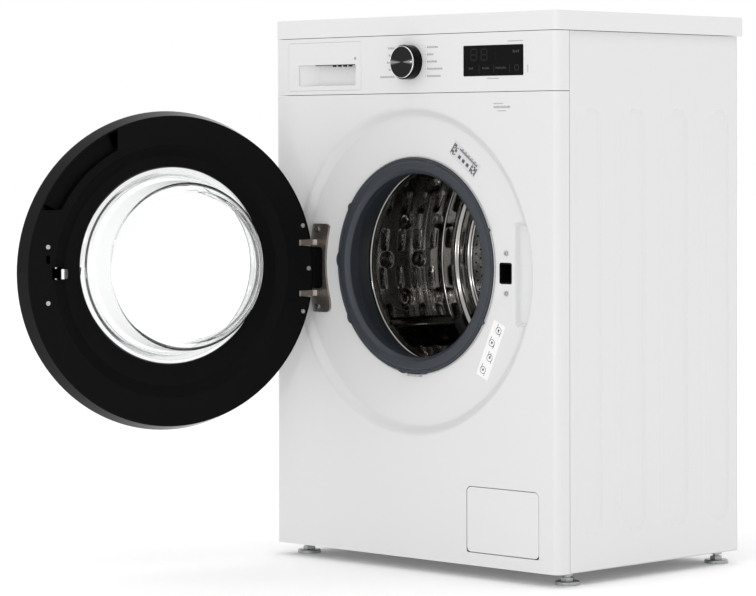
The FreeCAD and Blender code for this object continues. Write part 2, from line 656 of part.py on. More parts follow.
def floor_pan():
    """Base tray with the foot holes and the opening for the pump."""
    half = INNER_HALF - 0.5
    wall = FLOOR_PAN_SHEET
    front = 20.0
    rear = BODY_DEPTH - SHEET - 1.5
    tray = box(-half, half, front, rear, PAN_BOTTOM, PAN_BOTTOM + PAN_RIM_HEIGHT)
    front_flange = FRONT_WRAP + SEAM + SHEET + 0.5
    tray = tray.cut(box(-half + wall, half - wall, front + wall, rear - wall, PAN_TOP, PAN_BOTTOM + 40))
    for side in (-1, 1):
        x0, x1 = sorted((side * (INNER_HALF - 17), side * HALF))
        tray = tray.cut(box(x0, x1, front - 1, front_flange, PAN_BOTTOM - 1, PAN_BOTTOM + 40))
    x0 = INNER_HALF - FLANGE - 1
    holes = [rod(FOOT_STUD_RADIUS + RUNNING_FIT, (x, y, 0), (x, y, 60)) for x, y in foot_places()]
    holes.append(box(FLAP_LEFT - 8, FLAP_RIGHT + 8, front - 1, front + 6, PAN_TOP + 6, PAN_BOTTOM + 40))
    return tray.cut(holes)


def foot_places():
    """Places of the four feet."""
    return [(-FOOT_X, FRONT_FOOT_Y), (FOOT_X, FRONT_FOOT_Y), (-FOOT_X, REAR_FOOT_Y), (FOOT_X, REAR_FOOT_Y)]


def hexagon(x, y, width, z0, z1):
    """A hexagonal nut blank, upright, by its width across flats."""
    radius = width / math.sqrt(3)
    corners = [(x + radius * math.cos(math.radians(60 * i)), y + radius * math.sin(math.radians(60 * i)))
               for i in range(6)]
    return plan_prism(corners, z0, z1)


def foot(index):
    """One levelling foot with pad, stud and hexagon."""
    x, y = foot_places()[index]
    pad = rod(FOOT_PAD_RADIUS, (x, y, 0), (x, y, FOOT_PAD_HEIGHT))
    edge = [e for e in pad.Edges if e.BoundBox.ZMin > FOOT_PAD_HEIGHT - 0.01 and e.BoundBox.XLength > 1]
    pad = pad.makeFillet(2.0, edge)
    neck = hexagon(x, y, 17.0, FOOT_PAD_HEIGHT - 1, FOOT_PAD_HEIGHT + 5)
    stud = rod(FOOT_STUD_RADIUS, (x, y, FOOT_PAD_HEIGHT), (x, y, PAN_TOP + 22))
    return join([pad, neck, stud])


def foot_lock_nuts():
    """Lock nuts of the four feet."""
    nuts = []
    for x, y in foot_places():
        blank = hexagon(x, y, 17.0, FOOT_HEIGHT - 6, PAN_BOTTOM)
        nuts.append(blank.cut(rod(FOOT_STUD_RADIUS + RUNNING_FIT, (x, y, 0), (x, y, 60))))
    return group(nuts)


def top_brace():
    """Pressed channel across the cabinet behind the console."""
    top = WORKTOP_BOTTOM - SEAM - SHEET - 1.5
    half = INNER_HALF - 0.3
    y0 = STRUT_FRONT
    outer = box(-half, half, y0, y0 + STRUT_DEPTH, top - 14, top)
    inner = box(-half - 1, half + 1, y0 + 1.2, y0 + 24.8, top - 20, top - 1.2)
    return outer.cut(inner)


def main_board():
    """Power board in its plastic tray, hung under the top brace."""
    x0 = DISPLAY_LEFT - 60
    x1 = DISPLAY_LEFT + 90
    low = WORKTOP_BOTTOM - 62
    wall = TRAY_WALL
    y0 = TRAY_FRONT + wall
    y1 = TRAY_REAR - wall
    tray = box(x0, x1, TRAY_FRONT, TRAY_REAR, low, low + TRAY_HEIGHT)
    tray = tray.cut(box(x0 + wall, x1 - wall, y0, y1, low + wall, low + TRAY_HEIGHT + 4))
    board = box(x0 + wall, x1 - wall, y0, y1, low + 6, low + 8)
    rows = [y0 + 23 + 30 * i for i in range(3)]
    parts = [rod(11, (x0 + 25, y, low + 8), (x0 + 25, y, low + 22)) for y in rows]
    parts.append(box(x0 + 60, x0 + 120, y0 + 18, y0 + 58, low + 8, low + 22))
    return join([tray, board] + parts)


def inlet_valve():
    """Solenoid valve with its threaded tail through the back panel, and the hose to the dispenser."""
    half = VALVE_HALF
    front = BACK_FACE - VALVE_DEPTH
    body = box(INLET_X - half, INLET_X + half, front, BACK_FACE, INLET_Z - half, INLET_Z + half)
    middle = BACK_FACE - VALVE_DEPTH / 2
    top = INLET_Z - half
    coil = rod(COIL_RADIUS, (INLET_X, middle, top), (INLET_X, middle, top - COIL_LENGTH))
    start = BACK_OUTER + CONNECTION_SHOULDER
    neck = tube(INLET_RADIUS - CONNECTION_STEP, 9.5, (INLET_X, BACK_FACE - 4, INLET_Z),
                (INLET_X, start, INLET_Z))
    thread = tube(INLET_RADIUS, 9.5, (INLET_X, start, INLET_Z), (INLET_X, BACK_OUTER + INLET_LENGTH, INLET_Z))
    barb = rod(5.3, (INLET_X, BACK_FACE - 50, INLET_Z), (INLET_X, BACK_FACE - 30, INLET_Z))
    body = join([body, coil, barb])
    valve = join([body.cut(rod(9.5, (INLET_X, BACK_FACE - 12, INLET_Z),
                               (INLET_X, BACK_FACE + 1, INLET_Z))), neck, thread])
    hose = tube(12, 9, (INLET_X, HOUSING_REAR + 0.5, INLET_Z), (INLET_X, HOUSING_REAR + 14, INLET_Z))
    run = tube(12, 5.3, (INLET_X, HOUSING_REAR + 14, INLET_Z),
               (INLET_X, BACK_FACE - VALVE_DEPTH - 0.2, INLET_Z))
    return group([valve, join([hose, run])])


def cord_gland():
    """Strain relief where the mains lead enters."""
    x = HALF - 60
    y = BACK_FACE
    collar = tube(12, 3.6, (x, BACK_OUTER, INLET_Z), (x, BACK_OUTER + 9, INLET_Z))
    neck = tube(7.8, 3.6, (x, y - 12, INLET_Z), (x, BACK_OUTER, INLET_Z))
    return join([collar, neck])


def door_lock():
    """Electric door lock behind the dish, with the slot that takes the latch hook."""
    half = LOCK_SCREW_SPACING / 2 + 7
    body = box(LOCK_X - 17, LOCK_X + 17, DISH_FLOOR_BACK + 0.1, 42, LOCK_Z - half, LOCK_Z + half)
    body = body.cut(finger_scoop(SHEET + 0.6))
    inset = 0.4
    half = LOCK_SLOT_WIDTH / 2 - inset
    rise = LOCK_SLOT_HEIGHT / 2 - inset
    mouth = front_prism(rectangle(LOCK_X - half, LOCK_X + half, LOCK_Z - rise, LOCK_Z + rise, 2.6),
                        DISH_DEPTH - 0.6, DISH_FLOOR_BACK + 1)
    slot = front_prism(rectangle(LOCK_X - 10.2, LOCK_X + 10.2, LOCK_Z - 13.5, LOCK_Z + 13.5, 1.5), 0, 34)
    holes = [rod(1.8, (x, 0, z), (x, 24, z)) for x, z in lock_screw_places()]
    return join([body, mouth]).cut([slot] + holes)


def hinge_bracket():
    """Cast hinge with two arms, screwed to the dish floor."""
    back = DISH_DEPTH - 0.05
    front = back - HINGE_PLATE_THICKNESS
    half = HINGE_PLATE_HEIGHT / 2
    plate = front_prism(rectangle(HINGE_X - 3.5, HINGE_X + 40, DOOR_HEIGHT - half, DOOR_HEIGHT + half, 9),
                        front, back)
    plate = plate.cut(rod(GASKET_OUTER_RADIUS + 29, (0, 0, AXIS_HEIGHT), (0, 20, AXIS_HEIGHT)))
    plate = plate.common(rod(DISH_FLOOR_RADIUS - 5, (0, 0, DOOR_HEIGHT), (0, 20, DOOR_HEIGHT)))
    plate = plate.cut(front_prism(hinge_window(), 0, 20))
    solid = [plate]
    for side in (-1, 1):
        z = DOOR_HEIGHT + side * HINGE_ARM_SPACING / 2
        z0 = z - HINGE_ARM_HEIGHT / 2
        z1 = z + HINGE_ARM_HEIGHT / 2
        w = HINGE_ARM_HALF_WIDTH
        arm = plan_prism([(HINGE_X - w, HINGE_Y), (HINGE_X + w, HINGE_Y), (HINGE_X + w, front - 4, 3),
                          (HINGE_X + w + 6, front + 0.5), (HINGE_X + w + 6, back - 0.2),
                          (HINGE_X - w + 6, back - 0.2),
                          (HINGE_X - w, front - 2)], z0, z1)
        eye = rod(w, (HINGE_X, HINGE_Y, z0), (HINGE_X, HINGE_Y, z1))
        solid.append(arm.fuse(eye))
    bracket = join(solid)
    bore = rod(HINGE_PIN_RADIUS + RUNNING_FIT, (HINGE_X, HINGE_Y, 0), (HINGE_X, HINGE_Y, HEIGHT))
    holes = [rod(2.4, (x, 0, z), (x, 20, z)) for x, z in hinge_screw_places()]
    return bracket.cut([bore] + holes)


def hinge_reinforcement():
    """Thicker plate behind the dish that the hinge is screwed to."""
    y0 = DISH_FLOOR_BACK + 0.1
    half = HINGE_PLATE_HEIGHT / 2 + 3
    plate = front_prism(rectangle(HINGE_X - 3, HINGE_X + 30, DOOR_HEIGHT - half, DOOR_HEIGHT + half, 4),
                        y0, y0 + 2)
    holes = [rod(1.9, (x, 0, z), (x, 24, z)) for x, z in hinge_screw_places()]
    return plate.cut(holes)


def cabinet_screws():
    """Screws of the lock, the hinge and the back."""
    front = DISH_DEPTH - 0.05 - HINGE_PLATE_THICKNESS
    screws = [screw(x, front, z, 1.9, 4.4, 9.5, -1) for x, z in hinge_screw_places()]
    screws += [screw(x, DISH_DEPTH, z, 1.8, 3.8, 10, -1) for x, z in lock_screw_places()]
    for x, z in back_screw_places():
        screws.append(screw(x, BACK_OUTER, z, 2.0, 4.2, 0.85, 1))
    return group(screws)


def gasket():
    """Door boot: front lip over the dish, sealing lip for the glass, fold and cuff on the tub's neck."""
    back = DISH_DEPTH - 0.15
    wall = GASKET_WALL
    inner = GASKET_LIP_RADIUS
    bellow = PORT_RADIUS - 5.2
    cuff = TUB_NECK_RADIUS + 4.3
    front = TUB_NECK_FRONT - 1.0
    corners = [
        (GASKET_OUTER_RADIUS, back), (GASKET_OUTER_RADIUS, back - 3.5, 2), (GASKET_OUTER_RADIUS - 6, 4.3, 4),
        (PORT_RADIUS - 3, 4.3, 4), (inner, 10.5, 4), (inner, 24, 3), (bellow, 31, 3),
        (bellow, front - wall, 2), (cuff + wall + 0.7, front - wall, 2), (cuff + wall + 0.7, front + 9),
        (cuff, front + 9), (cuff, front, 1), (bellow + wall, front, 1), (bellow + wall, 30, 2),
        (PORT_RADIUS - 0.4, 24, 1), (PORT_RADIUS - 0.4, back),
    ]
    return turned(corners, z=AXIS_HEIGHT)


def gasket_front_clamp():
    """Spring wire that holds the front lip, with its tension spring at the bottom."""
    radius = GASKET_OUTER_RADIUS + 1.3
    wire = Part.makeTorus(radius, 1.1, vec(0, DISH_DEPTH - 1.4, AXIS_HEIGHT), vec(0, 1, 0))
    spring = rod(2.4, (-14, DISH_DEPTH - 2.6, AXIS_HEIGHT - radius - 1.4),
                 (14, DISH_DEPTH - 2.6, AXIS_HEIGHT - radius - 1.4))
    spring = spring.cut(rod(GASKET_OUTER_RADIUS + 0.2, (0, 0, AXIS_HEIGHT), (0, 20, AXIS_HEIGHT)))
    return join([wire, spring])


def filter_recess():
    """Box behind the flap, with a hole for the filter cap."""
    x0 = FLAP_LEFT - 4
    x1 = FLAP_RIGHT + 4
    z0 = FLAP_BOTTOM - 6.0
    z1 = FLAP_TOP + 4
    wall = 2.0
    outer = box(x0, x1, SHEET + 0.1, 16, z0, z1)
    inner = box(x0 + wall, x1 - wall, 0, 14, z0 + wall, z1 - wall)
    frame = outer.cut(inner)
    y = FLAP_HINGE_Y
    z = FLAP_HINGE_Z
    lugs = []
    for x in flap_lug_places():
        eye = rod(FLAP_EYE_RADIUS, (x, y, z), (x + FLAP_LUG_WIDTH, y, z))
        lugs.append(box(x, x + FLAP_LUG_WIDTH, y, 14.5, z - 1.8, z + 5).fuse(eye))
    frame = join([frame] + lugs)
    pin_hole = rod(FLAP_PIN_RADIUS + RUNNING_FIT, (x0 + wall, y, z), (x1 - wall, y, z))
    return frame.cut([rod(CAP_RADIUS + 0.8, (CAP_X, 0, CAP_Z), (CAP_X, 30, CAP_Z)), pin_hole])


def flap_lug_places():
    """Left ends of the two hinge lugs of the recess."""
    return [FLAP_LEFT + 6, FLAP_RIGHT - 6 - FLAP_LUG_WIDTH]


def pump_flap():
    """Flap over the drain filter, with a pin at each side of the recess's hinge lugs."""
    plate = front_prism(rectangle(FLAP_LEFT, FLAP_RIGHT, FLAP_BOTTOM, FLAP_TOP, FLAP_CORNER), 0,
                        FLAP_THICKNESS)
    front_edges = [e for e in plate.Edges if e.BoundBox.YMax < 0.01]
    plate = plate.makeFillet(0.8, front_edges)
    y = FLAP_HINGE_Y
    z = FLAP_HINGE_Z
    pieces = [plate]
    left, right = flap_lug_places()
    for x, pin_end in ((left + FLAP_LUG_WIDTH + 0.5, left + 0.5),
                       (right - 4.5, right + FLAP_LUG_WIDTH - 0.5)):
        ear = box(x, x + 4, FLAP_THICKNESS - 0.5, y, z - FLAP_EYE_RADIUS, z + FLAP_EYE_RADIUS)
        pieces.append(ear.fuse(rod(FLAP_EYE_RADIUS, (x, y, z), (x + 4, y, z))))
        pieces.append(rod(FLAP_PIN_RADIUS, (min(x + 2, pin_end), y, z), (max(x + 2, pin_end), y, z)))
    return join(pieces)


def drain_filter_cap():
    """Turning cap of the drain filter with its grip and thread."""
    flange = rod(CAP_RADIUS + 4, (CAP_X, 10.5, CAP_Z), (CAP_X, 13.8, CAP_Z))
    plug = rod(CAP_RADIUS, (CAP_X, 13.8, CAP_Z), (CAP_X, 46, CAP_Z))
    grip = box(CAP_X - 22, CAP_X + 22, 4.5, 10.5, CAP_Z - 3.5, CAP_Z + 3.5)
    return join([flange, plug, grip])


def drain_pump():
    """Filter housing with the pump motor behind it."""
    bore = CAP_RADIUS + RUNNING_FIT
    housing = rod(CAP_RADIUS + 4.5, (CAP_X, 16.2, CAP_Z), (CAP_X, PUMP_BODY_BACK, CAP_Z))
    motor = rod(PUMP_MOTOR_RADIUS, (CAP_X, PUMP_BODY_BACK, CAP_Z), (CAP_X, PUMP_MOTOR_BACK, CAP_Z))
    bracket = box(CAP_X - 20, CAP_X + 20, 60, 90, PAN_TOP, CAP_Z - 20)
    spigot = rod(13.8, sump_points()[-1], (CAP_X, 70, CAP_Z + 4))
    outlet = rod(8, (DRAIN_X, 88, DRAIN_Z), (DRAIN_X, 112, DRAIN_Z))
    bridge = box(CAP_X + 10, DRAIN_X + 8, 76, 92, DRAIN_Z - 8, DRAIN_Z + 20)
    body = join([housing, motor, bracket, spigot, outlet, bridge])
    return body.cut([rod(bore, (CAP_X, 0, CAP_Z), (CAP_X, 50, CAP_Z)),
                     rod(PUMP_CHAMBER_RADIUS, (CAP_X, 45, CAP_Z), (CAP_X, PUMP_BODY_BACK - 6, CAP_Z))])


def sump_points():
    """Corners of the sump hose, from the tub's lowest point to the pump."""
    z = CAP_Z + 4
    return [(SUMP_X, SUMP_Y, AXIS_HEIGHT - TUB_OUTER - 8), (SUMP_X, SUMP_Y, z),
            (CAP_X - 42, 70 + 42 * (SUMP_Y - 70) / (CAP_X - SUMP_X), z)]


def bent_tube(points, bend, outer, inner):
    """A tube along straight runs joined by tangent arcs, built from cylinders and parts of a torus."""
    corner = vec(*points[1])
    to_start = (vec(*points[0]) - corner).normalize()
    to_end = (vec(*points[2]) - corner).normalize()
    half = to_start.getAngle(to_end) / 2
    reach = bend / math.tan(half)
    begin = corner + to_start * reach
    finish = corner + to_end * reach
    centre = corner + (to_start + to_end).normalize() * (bend / math.sin(half))
    normal = to_start.cross(to_end).normalize()
    shapes = []
    for radius in (outer, inner):
        circle = Part.Face(Part.Wire(Part.makeCircle(radius, begin, to_start)))
        turn = circle.revolve(centre, normal * -1, 180 - math.degrees(half * 2))
        runs = [rod(radius, points[0], tuple(begin)), rod(radius, tuple(finish), points[2])]
        shapes.append(turn.fuse(runs).removeSplitter())
    return shapes[0].cut(shapes[1])


def sump_hose():
    """Bent hose from the tub outlet to the pump."""
    return bent_tube(sump_points(), 40, 17, 14)


def tub_fill_hose():
    """Hose from the dispenser to the tub."""
    y = HOUSING_REAR - 26
    return tube(18, 15.2, (INLET_X, y, HOUSING_BOTTOM - 13), (INLET_X, y, fill_spout_top() - 12))


def fill_spout_top():
    """Height of the tub's filling spout, just above the tub's wall at the dispenser."""
    return AXIS_HEIGHT + math.sqrt(TUB_OUTER**2 - min(abs(INLET_X), TUB_OUTER * 0.9) ** 2) + 32


def drain_outlet():
    """Internal drain hose and the spigot on the back panel that the drain hose pushes on to."""
    hose = tube(12, 8.1, (DRAIN_X, 99, DRAIN_Z), (DRAIN_X, BACK_FACE - 22, DRAIN_Z))
    spigot = tube(8, 6.5, (DRAIN_X, BACK_FACE - 40, DRAIN_Z), (DRAIN_X, BACK_FACE, DRAIN_Z))
    flange = tube(13, 6.5, (DRAIN_X, BACK_FACE - 4, DRAIN_Z), (DRAIN_X, BACK_FACE - 0.1, DRAIN_Z))
    start = BACK_OUTER + CONNECTION_SHOULDER
    neck = tube(DRAIN_RADIUS - CONNECTION_STEP, 6.5, (DRAIN_X, BACK_FACE - 1, DRAIN_Z),
                (DRAIN_X, start, DRAIN_Z))
    tail = tube(DRAIN_RADIUS, 6.5, (DRAIN_X, start, DRAIN_Z), (DRAIN_X, BACK_OUTER + DRAIN_LENGTH, DRAIN_Z))
    return group([hose, join([spigot, flange, neck, tail])])


def damper_places():
    """Places and lengths of the two friction dampers."""
    return [(sx * DAMPER_X, y) for y in DAMPER_ROWS for sx in (-1, 1)]


def damper_cylinders():
    """Lower tubes of the dampers."""
    cylinders = []
    for x, y in damper_places():
        body = rod(DAMPER_RADIUS, (x, y, PAN_TOP), (x, y, DAMPER_CYLINDER_TOP))
        cylinders.append(body.cut(rod(DAMPER_BORE, (x, y, PAN_TOP + 30), (x, y, DAMPER_CYLINDER_TOP + 1))))
    return group(cylinders)


def damper_rods():
    """Sliding rods with rubber eyes that meet the underside of the tub."""
    rods = []
    for x, y in damper_places():
        top = AXIS_HEIGHT - math.sqrt(TUB_OUTER**2 - (DAMPER_X - 12) ** 2) + 14
        piston = rod(DAMPER_BORE - RUNNING_FIT, (x, y, PAN_TOP + 52), (x, y, top - 24))
        eye = box(x - 12, x + 12, y - 10, y + 10, top - 26, top)
        rods.append(join([piston, eye]).cut(tub_envelope()))
    return group(rods)


def tub_envelope():
    """Everything inside the tub's outer wall and rim."""
    barrel = rod(TUB_OUTER, (0, 0, AXIS_HEIGHT), (0, 420, AXIS_HEIGHT))
    return barrel


def suspension_springs():
    """The coil springs that carry the tub, as their outer shape."""
    springs = []
    for side in (-1, 1):
        x = side * SPRING_X
        body = tube(SPRING_RADIUS, SPRING_RADIUS - 2, (x, SPRING_Y, SPRING_BOTTOM), (x, SPRING_Y, SPRING_TOP))
        springs.append(body)
    return group(springs)


def tub_front():
    """Front half of the plastic tub, with the neck that takes the gasket and the sump outlet."""
    r = TUB_NECK_RADIUS
    shell = turned([
        (r, TUB_NECK_FRONT), (r + 4, TUB_NECK_FRONT), (r + 4, TUB_FRONT_WALL),
        (TUB_OUTER, TUB_FRONT_WALL, 10),
        (TUB_OUTER, TUB_SPLIT - 5), (TUB_FLANGE, TUB_SPLIT - 5), (TUB_FLANGE, TUB_SPLIT),
        (TUB_INNER, TUB_SPLIT),
        (TUB_INNER, TUB_FRONT_WALL + 4, 6), (r, TUB_FRONT_WALL + 4),
    ], z=AXIS_HEIGHT)
    x, y, z = sump_points()[0]
    bottom = AXIS_HEIGHT - math.sqrt(TUB_OUTER**2 - (abs(x) + 18) ** 2)
    spout = rod(13.8, (x, y, z - 14), (x, y, bottom + 4))
    collar = rod(18, (x, y, z + 0.2), (x, y, bottom + 2))
    hollow = rod(TUB_INNER, (0, 0, AXIS_HEIGHT), (0, 420, AXIS_HEIGHT))
    sump = join([spout, collar]).cut(hollow)
    tub = join([shell, sump])
    return tub.cut(rod(11, (x, y, z - 20), (x, y, AXIS_HEIGHT - TUB_INNER + 20)))


def tub_rear():
    """Rear half of the tub with the bearing hub, the filling spout and the lugs for the springs."""
    y0 = TUB_SPLIT + 0.3
    shell = turned([
        (TUB_INNER, y0), (TUB_FLANGE, y0), (TUB_FLANGE, y0 + 6), (TUB_OUTER, y0 + 6),
        (TUB_OUTER, TUB_BACK_OUTER, 12),
        (TUB_HUB_RADIUS, TUB_BACK_OUTER), (TUB_HUB_RADIUS, HUB_REAR), (REAR_BEARING_RADIUS, HUB_REAR),
        (REAR_BEARING_RADIUS, HUB_REAR - 15), (SHAFT_RADIUS + 5, HUB_REAR - 15),
        (SHAFT_RADIUS + 5, HUB_FRONT + 16), (FRONT_BEARING_RADIUS, HUB_FRONT + 16),
        (FRONT_BEARING_RADIUS, HUB_FRONT), (TUB_HUB_RADIUS, HUB_FRONT),
        (TUB_HUB_RADIUS, TUB_BACK), (TUB_INNER, TUB_BACK, 8),
    ], z=AXIS_HEIGHT)
    pieces = [shell]
    spout_y = HOUSING_REAR - 26
    top = fill_spout_top()
    spout = rod(15, (INLET_X, spout_y, top - 60), (INLET_X, spout_y, top))
    spout = spout.cut(rod(TUB_INNER + 1, (0, 0, AXIS_HEIGHT), (0, 420, AXIS_HEIGHT)))
    pieces.append(spout)
    for side in (-1, 1):
        x0, x1 = sorted((side * (SPRING_X - 80), side * (SPRING_X + 12)))
        lug = box(x0, x1, y0, y0 + 13, SPRING_BOTTOM - 12, SPRING_BOTTOM)
        pieces.append(lug.cut(tub_envelope()))
    tub = join(pieces)
    return tub.cut(rod(12.5, (INLET_X, spout_y, AXIS_HEIGHT + 60), (INLET_X, spout_y, top + 5)))


def counterweights():
    """Two concrete blocks on the tub's front."""
    ring = turned([(TUB_NECK_RADIUS + 32, TUB_FRONT_WALL - 33, 4), (TUB_OUTER - 4, TUB_FRONT_WALL - 33, 6),
                   (TUB_OUTER - 4, TUB_FRONT_WALL - 0.2),
                   (TUB_NECK_RADIUS + 32, TUB_FRONT_WALL - 0.2)], z=AXIS_HEIGHT)
    reach = TUB_OUTER + 10
    rise = reach * math.tan(math.radians(COUNTERWEIGHT_GAP_ANGLE))
    blocks = []
    for side in (-1, 1):
        wedge = front_prism([(0, AXIS_HEIGHT), (reach, AXIS_HEIGHT + side * rise),
                             (reach, AXIS_HEIGHT + side * reach),
                             (-reach, AXIS_HEIGHT + side * reach),
                             (-reach, AXIS_HEIGHT + side * rise)], 10, 70)
        blocks.append(ring.common(wedge))
    return group(blocks)


def bearings():
    """Two ball bearings as plain rings, and the lip seal in front of them."""
    z = AXIS_HEIGHT
    fit = SHAFT_RADIUS + RUNNING_FIT
    front = tube(FRONT_BEARING_RADIUS, fit, (0, HUB_FRONT, z), (0, HUB_FRONT + 16, z))
    rear = tube(REAR_BEARING_RADIUS, SHAFT_REAR_RADIUS + RUNNING_FIT, (0, HUB_REAR - 15, z), (0, HUB_REAR, z))
    seal = tube(FRONT_BEARING_RADIUS + 4, fit, (0, HUB_FRONT - 2.4, z), (0, HUB_FRONT - 0.02, z))
    return group([front, rear, seal])


def stator():
    """Wound stator with its teeth, standing off the tub's rear wall."""
    z = AXIS_HEIGHT
    y0 = TUB_BACK_OUTER + 6
    y1 = HUB_REAR - 4
    ring = tube(76, 62, (0, TUB_BACK_OUTER, z), (0, y1, z))
    teeth = []
    for i in range(STATOR_TEETH):
        stem = box(-5.5, 5.5, y0, y1, z + 74, z + STATOR_RADIUS - 6)
        shoe = box(-13, 13, y0 + 3, y1 - 3, z + STATOR_RADIUS - 7, z + STATOR_RADIUS - 2)
        teeth.append(spun(stem.fuse(shoe), 360.0 * i / STATOR_TEETH))
    return join([ring] + teeth)


def heater():
    """Tubular heating element lying in the bottom of the tub."""
    z = AXIS_HEIGHT - DRUM_RADIUS - TUB_GAP / 2 - 0.2
    legs = [rod(3.2, (x, TUB_FRONT_WALL + 40, z + x * x / 480),
                (x, DRUM_REAR + 10, z + x * x / 480)) for x in (-24, 24)]
    return group(legs)


def drum_shell():
    """Perforated stainless barrel with its rolled front."""
    z = AXIS_HEIGHT
    t = DRUM_SHEET
    shell = turned([
        (DRUM_MOUTH_RADIUS, DRUM_FRONT + 8), (DRUM_MOUTH_RADIUS, DRUM_FRONT, 4),
        (DRUM_RADIUS, DRUM_FRONT, 12),
        (DRUM_RADIUS, DRUM_REAR - 0.2), (DRUM_RADIUS - t, DRUM_REAR - 0.2),
        (DRUM_RADIUS - t, DRUM_FRONT + t, 11),
        (DRUM_MOUTH_RADIUS + t, DRUM_FRONT + t, 3), (DRUM_MOUTH_RADIUS + t, DRUM_FRONT + 8),
    ], z=z)
    holes = []
    rows = 7
    span = DRUM_REAR - DRUM_FRONT - 60
    for lifter in range(LIFTER_COUNT):
        for column in range(6):
            angle = 360.0 / LIFTER_COUNT * lifter + 22 + column * 15.2
            for row in range(rows):
                y = DRUM_FRONT + 30 + span * (row + 0.5 * (column % 2)) / rows
                hole = rod(2.2, (0, y, z + DRUM_RADIUS - 8), (0, y, z + DRUM_RADIUS + 3))
                holes.append(spun(hole, angle))
    return shell.cut(group(holes))


def drum_back():
    """Pressed back of the drum with its raised rim."""
    z = AXIS_HEIGHT
    t = DRUM_SHEET
    disc = turned([(0, DRUM_REAR - 4), (DRUM_RADIUS - 30, DRUM_REAR - 4, 4), (DRUM_RADIUS - 24, DRUM_REAR, 4),
                   (DRUM_RADIUS, DRUM_REAR), (DRUM_RADIUS, DRUM_REAR + t),
                   (DRUM_RADIUS - 24.4, DRUM_REAR + t, 5),
                   (DRUM_RADIUS - 30.4, DRUM_REAR - 4 + t, 3), (0, DRUM_REAR - 4 + t)], z=z)
    holes = []
    for ring, count in ((90, 12), (140, 18), (190, 24)):
        for i in range(count):
            hole = rod(2.2, (0, DRUM_REAR - 10, z + ring), (0, DRUM_REAR + 10, z + ring))
            holes.append(spun(hole, 360.0 * (i + 0.5) / count))
    return disc.cut(group(holes))


def drum_lifters():
    """Paddles inside the drum, hollow plastic with a rounded crest."""
    z = AXIS_HEIGHT
    inner = DRUM_RADIUS - DRUM_SHEET
    y0 = DRUM_FRONT + 26
    y1 = DRUM_REAR - 16
    lifters = []
    for i in range(LIFTER_COUNT):
        crest = z + inner - LIFTER_HEIGHT
        profile = [(-30, z + inner + 2), (-9, crest, 8), (9, crest, 8), (30, z + inner + 2)]
        body = front_prism(profile, y0, y1)
        body = body.common(rod(inner, (0, 0, z), (0, 420, z)))
        slope = side_prism([(y0 - 1, z + 100), (y1 + 1, z + 100), (y1 + 1, z + inner - 20),
                            (y1 - 26, crest - 0.1),
                            (y0 + 26, crest - 0.1), (y0 - 1, z + inner - 20)], -40, 40)
        lifters.append(spun(body.cut(slope), 360.0 * i / LIFTER_COUNT))
    return group(lifters)


def drum_spider():
    """Three-armed aluminium casting that carries the drum on its shaft."""
    z = AXIS_HEIGHT
    y0 = DRUM_REAR + DRUM_SHEET + 0.1
    hub = turned([(SHAFT_RADIUS, y0), (44, y0), (38, HUB_FRONT - 3.2, 3),
                  (SHAFT_RADIUS, HUB_FRONT - 3.2)], z=z)
    pieces = [hub]
    for i in range(3):
        arm = front_prism([(-20, z + 30), (20, z + 30), (12, z + DRUM_RADIUS - 2),
                           (-12, z + DRUM_RADIUS - 2)], y0, y0 + 6)
        pieces.append(spun(arm, 120.0 * i))
    return join(pieces)


def drum_shaft():
    """Stepped steel shaft with the hexagonal bolt that holds the rotor."""
    z = AXIS_HEIGHT
    front = DRUM_REAR + DRUM_SHEET + 0.1
    step = HUB_REAR - 16
    shaft = turned([(0, front), (SHAFT_RADIUS, front), (SHAFT_RADIUS, step), (SHAFT_REAR_RADIUS, step),
                    (SHAFT_REAR_RADIUS, ROTOR_BACK + 3), (0, ROTOR_BACK + 3)], z=z)
    washer = rod(20, (0, ROTOR_BACK + 3, z), (0, ROTOR_BACK + 5.5, z))
    corners = [(11 * math.cos(math.radians(60 * i)),
                z + 11 * math.sin(math.radians(60 * i))) for i in range(6)]
    return join([shaft, washer, front_prism(corners, ROTOR_BACK + 5, ROTOR_BACK + 12)])


def rotor():
    """Outer rotor cup of the direct drive."""
    z = AXIS_HEIGHT
    cup = turned([(SHAFT_REAR_RADIUS, HUB_REAR + 2), (30, HUB_REAR + 2), (30, ROTOR_BACK),
                  (ROTOR_RADIUS - 3, ROTOR_BACK),
                  (ROTOR_RADIUS - 3, ROTOR_BACK - 6), (STATOR_RADIUS + 3, ROTOR_BACK - 6),
                  (STATOR_RADIUS + 3, TUB_BACK_OUTER + 8), (ROTOR_RADIUS, TUB_BACK_OUTER + 8),
                  (ROTOR_RADIUS, ROTOR_BACK + 3, 4), (SHAFT_REAR_RADIUS, ROTOR_BACK + 3)], z=z)
    vents = []
    for i in range(12):
        vents.append(spun(rod(9, (0, ROTOR_BACK - 2, z + 90), (0, ROTOR_BACK + 5, z + 90)), 30.0 * i))
    return cup.cut(vents)


def opened(shape):
    """A door piece moved from its closed place to the open rest place."""
    return shape.copy().rotate(vec(HINGE_X, HINGE_Y, 0), vec(0, 0, 1), -DOOR_OPEN_ANGLE)


def hinge_slots(grow=1.0):
    """Room in the door for the two arms over the whole swing."""
    slots = []
    for side in (-1, 1):
        z = DOOR_HEIGHT + side * HINGE_ARM_SPACING / 2
        half = HINGE_ARM_HEIGHT / 2 + grow
        slots.append(box(-DOOR_RADIUS - 40, HINGE_X + HINGE_ARM_HALF_WIDTH + 3, HINGE_Y - 16,
                         20, z - half, z + half))
    return slots


def handle_corners():
    """The grip hollow at the upper free side of the door."""
    inner = DOOR_BACK_RADIUS - 34
    low = math.radians(27)
    high = math.radians(64)
    return inner, low, high


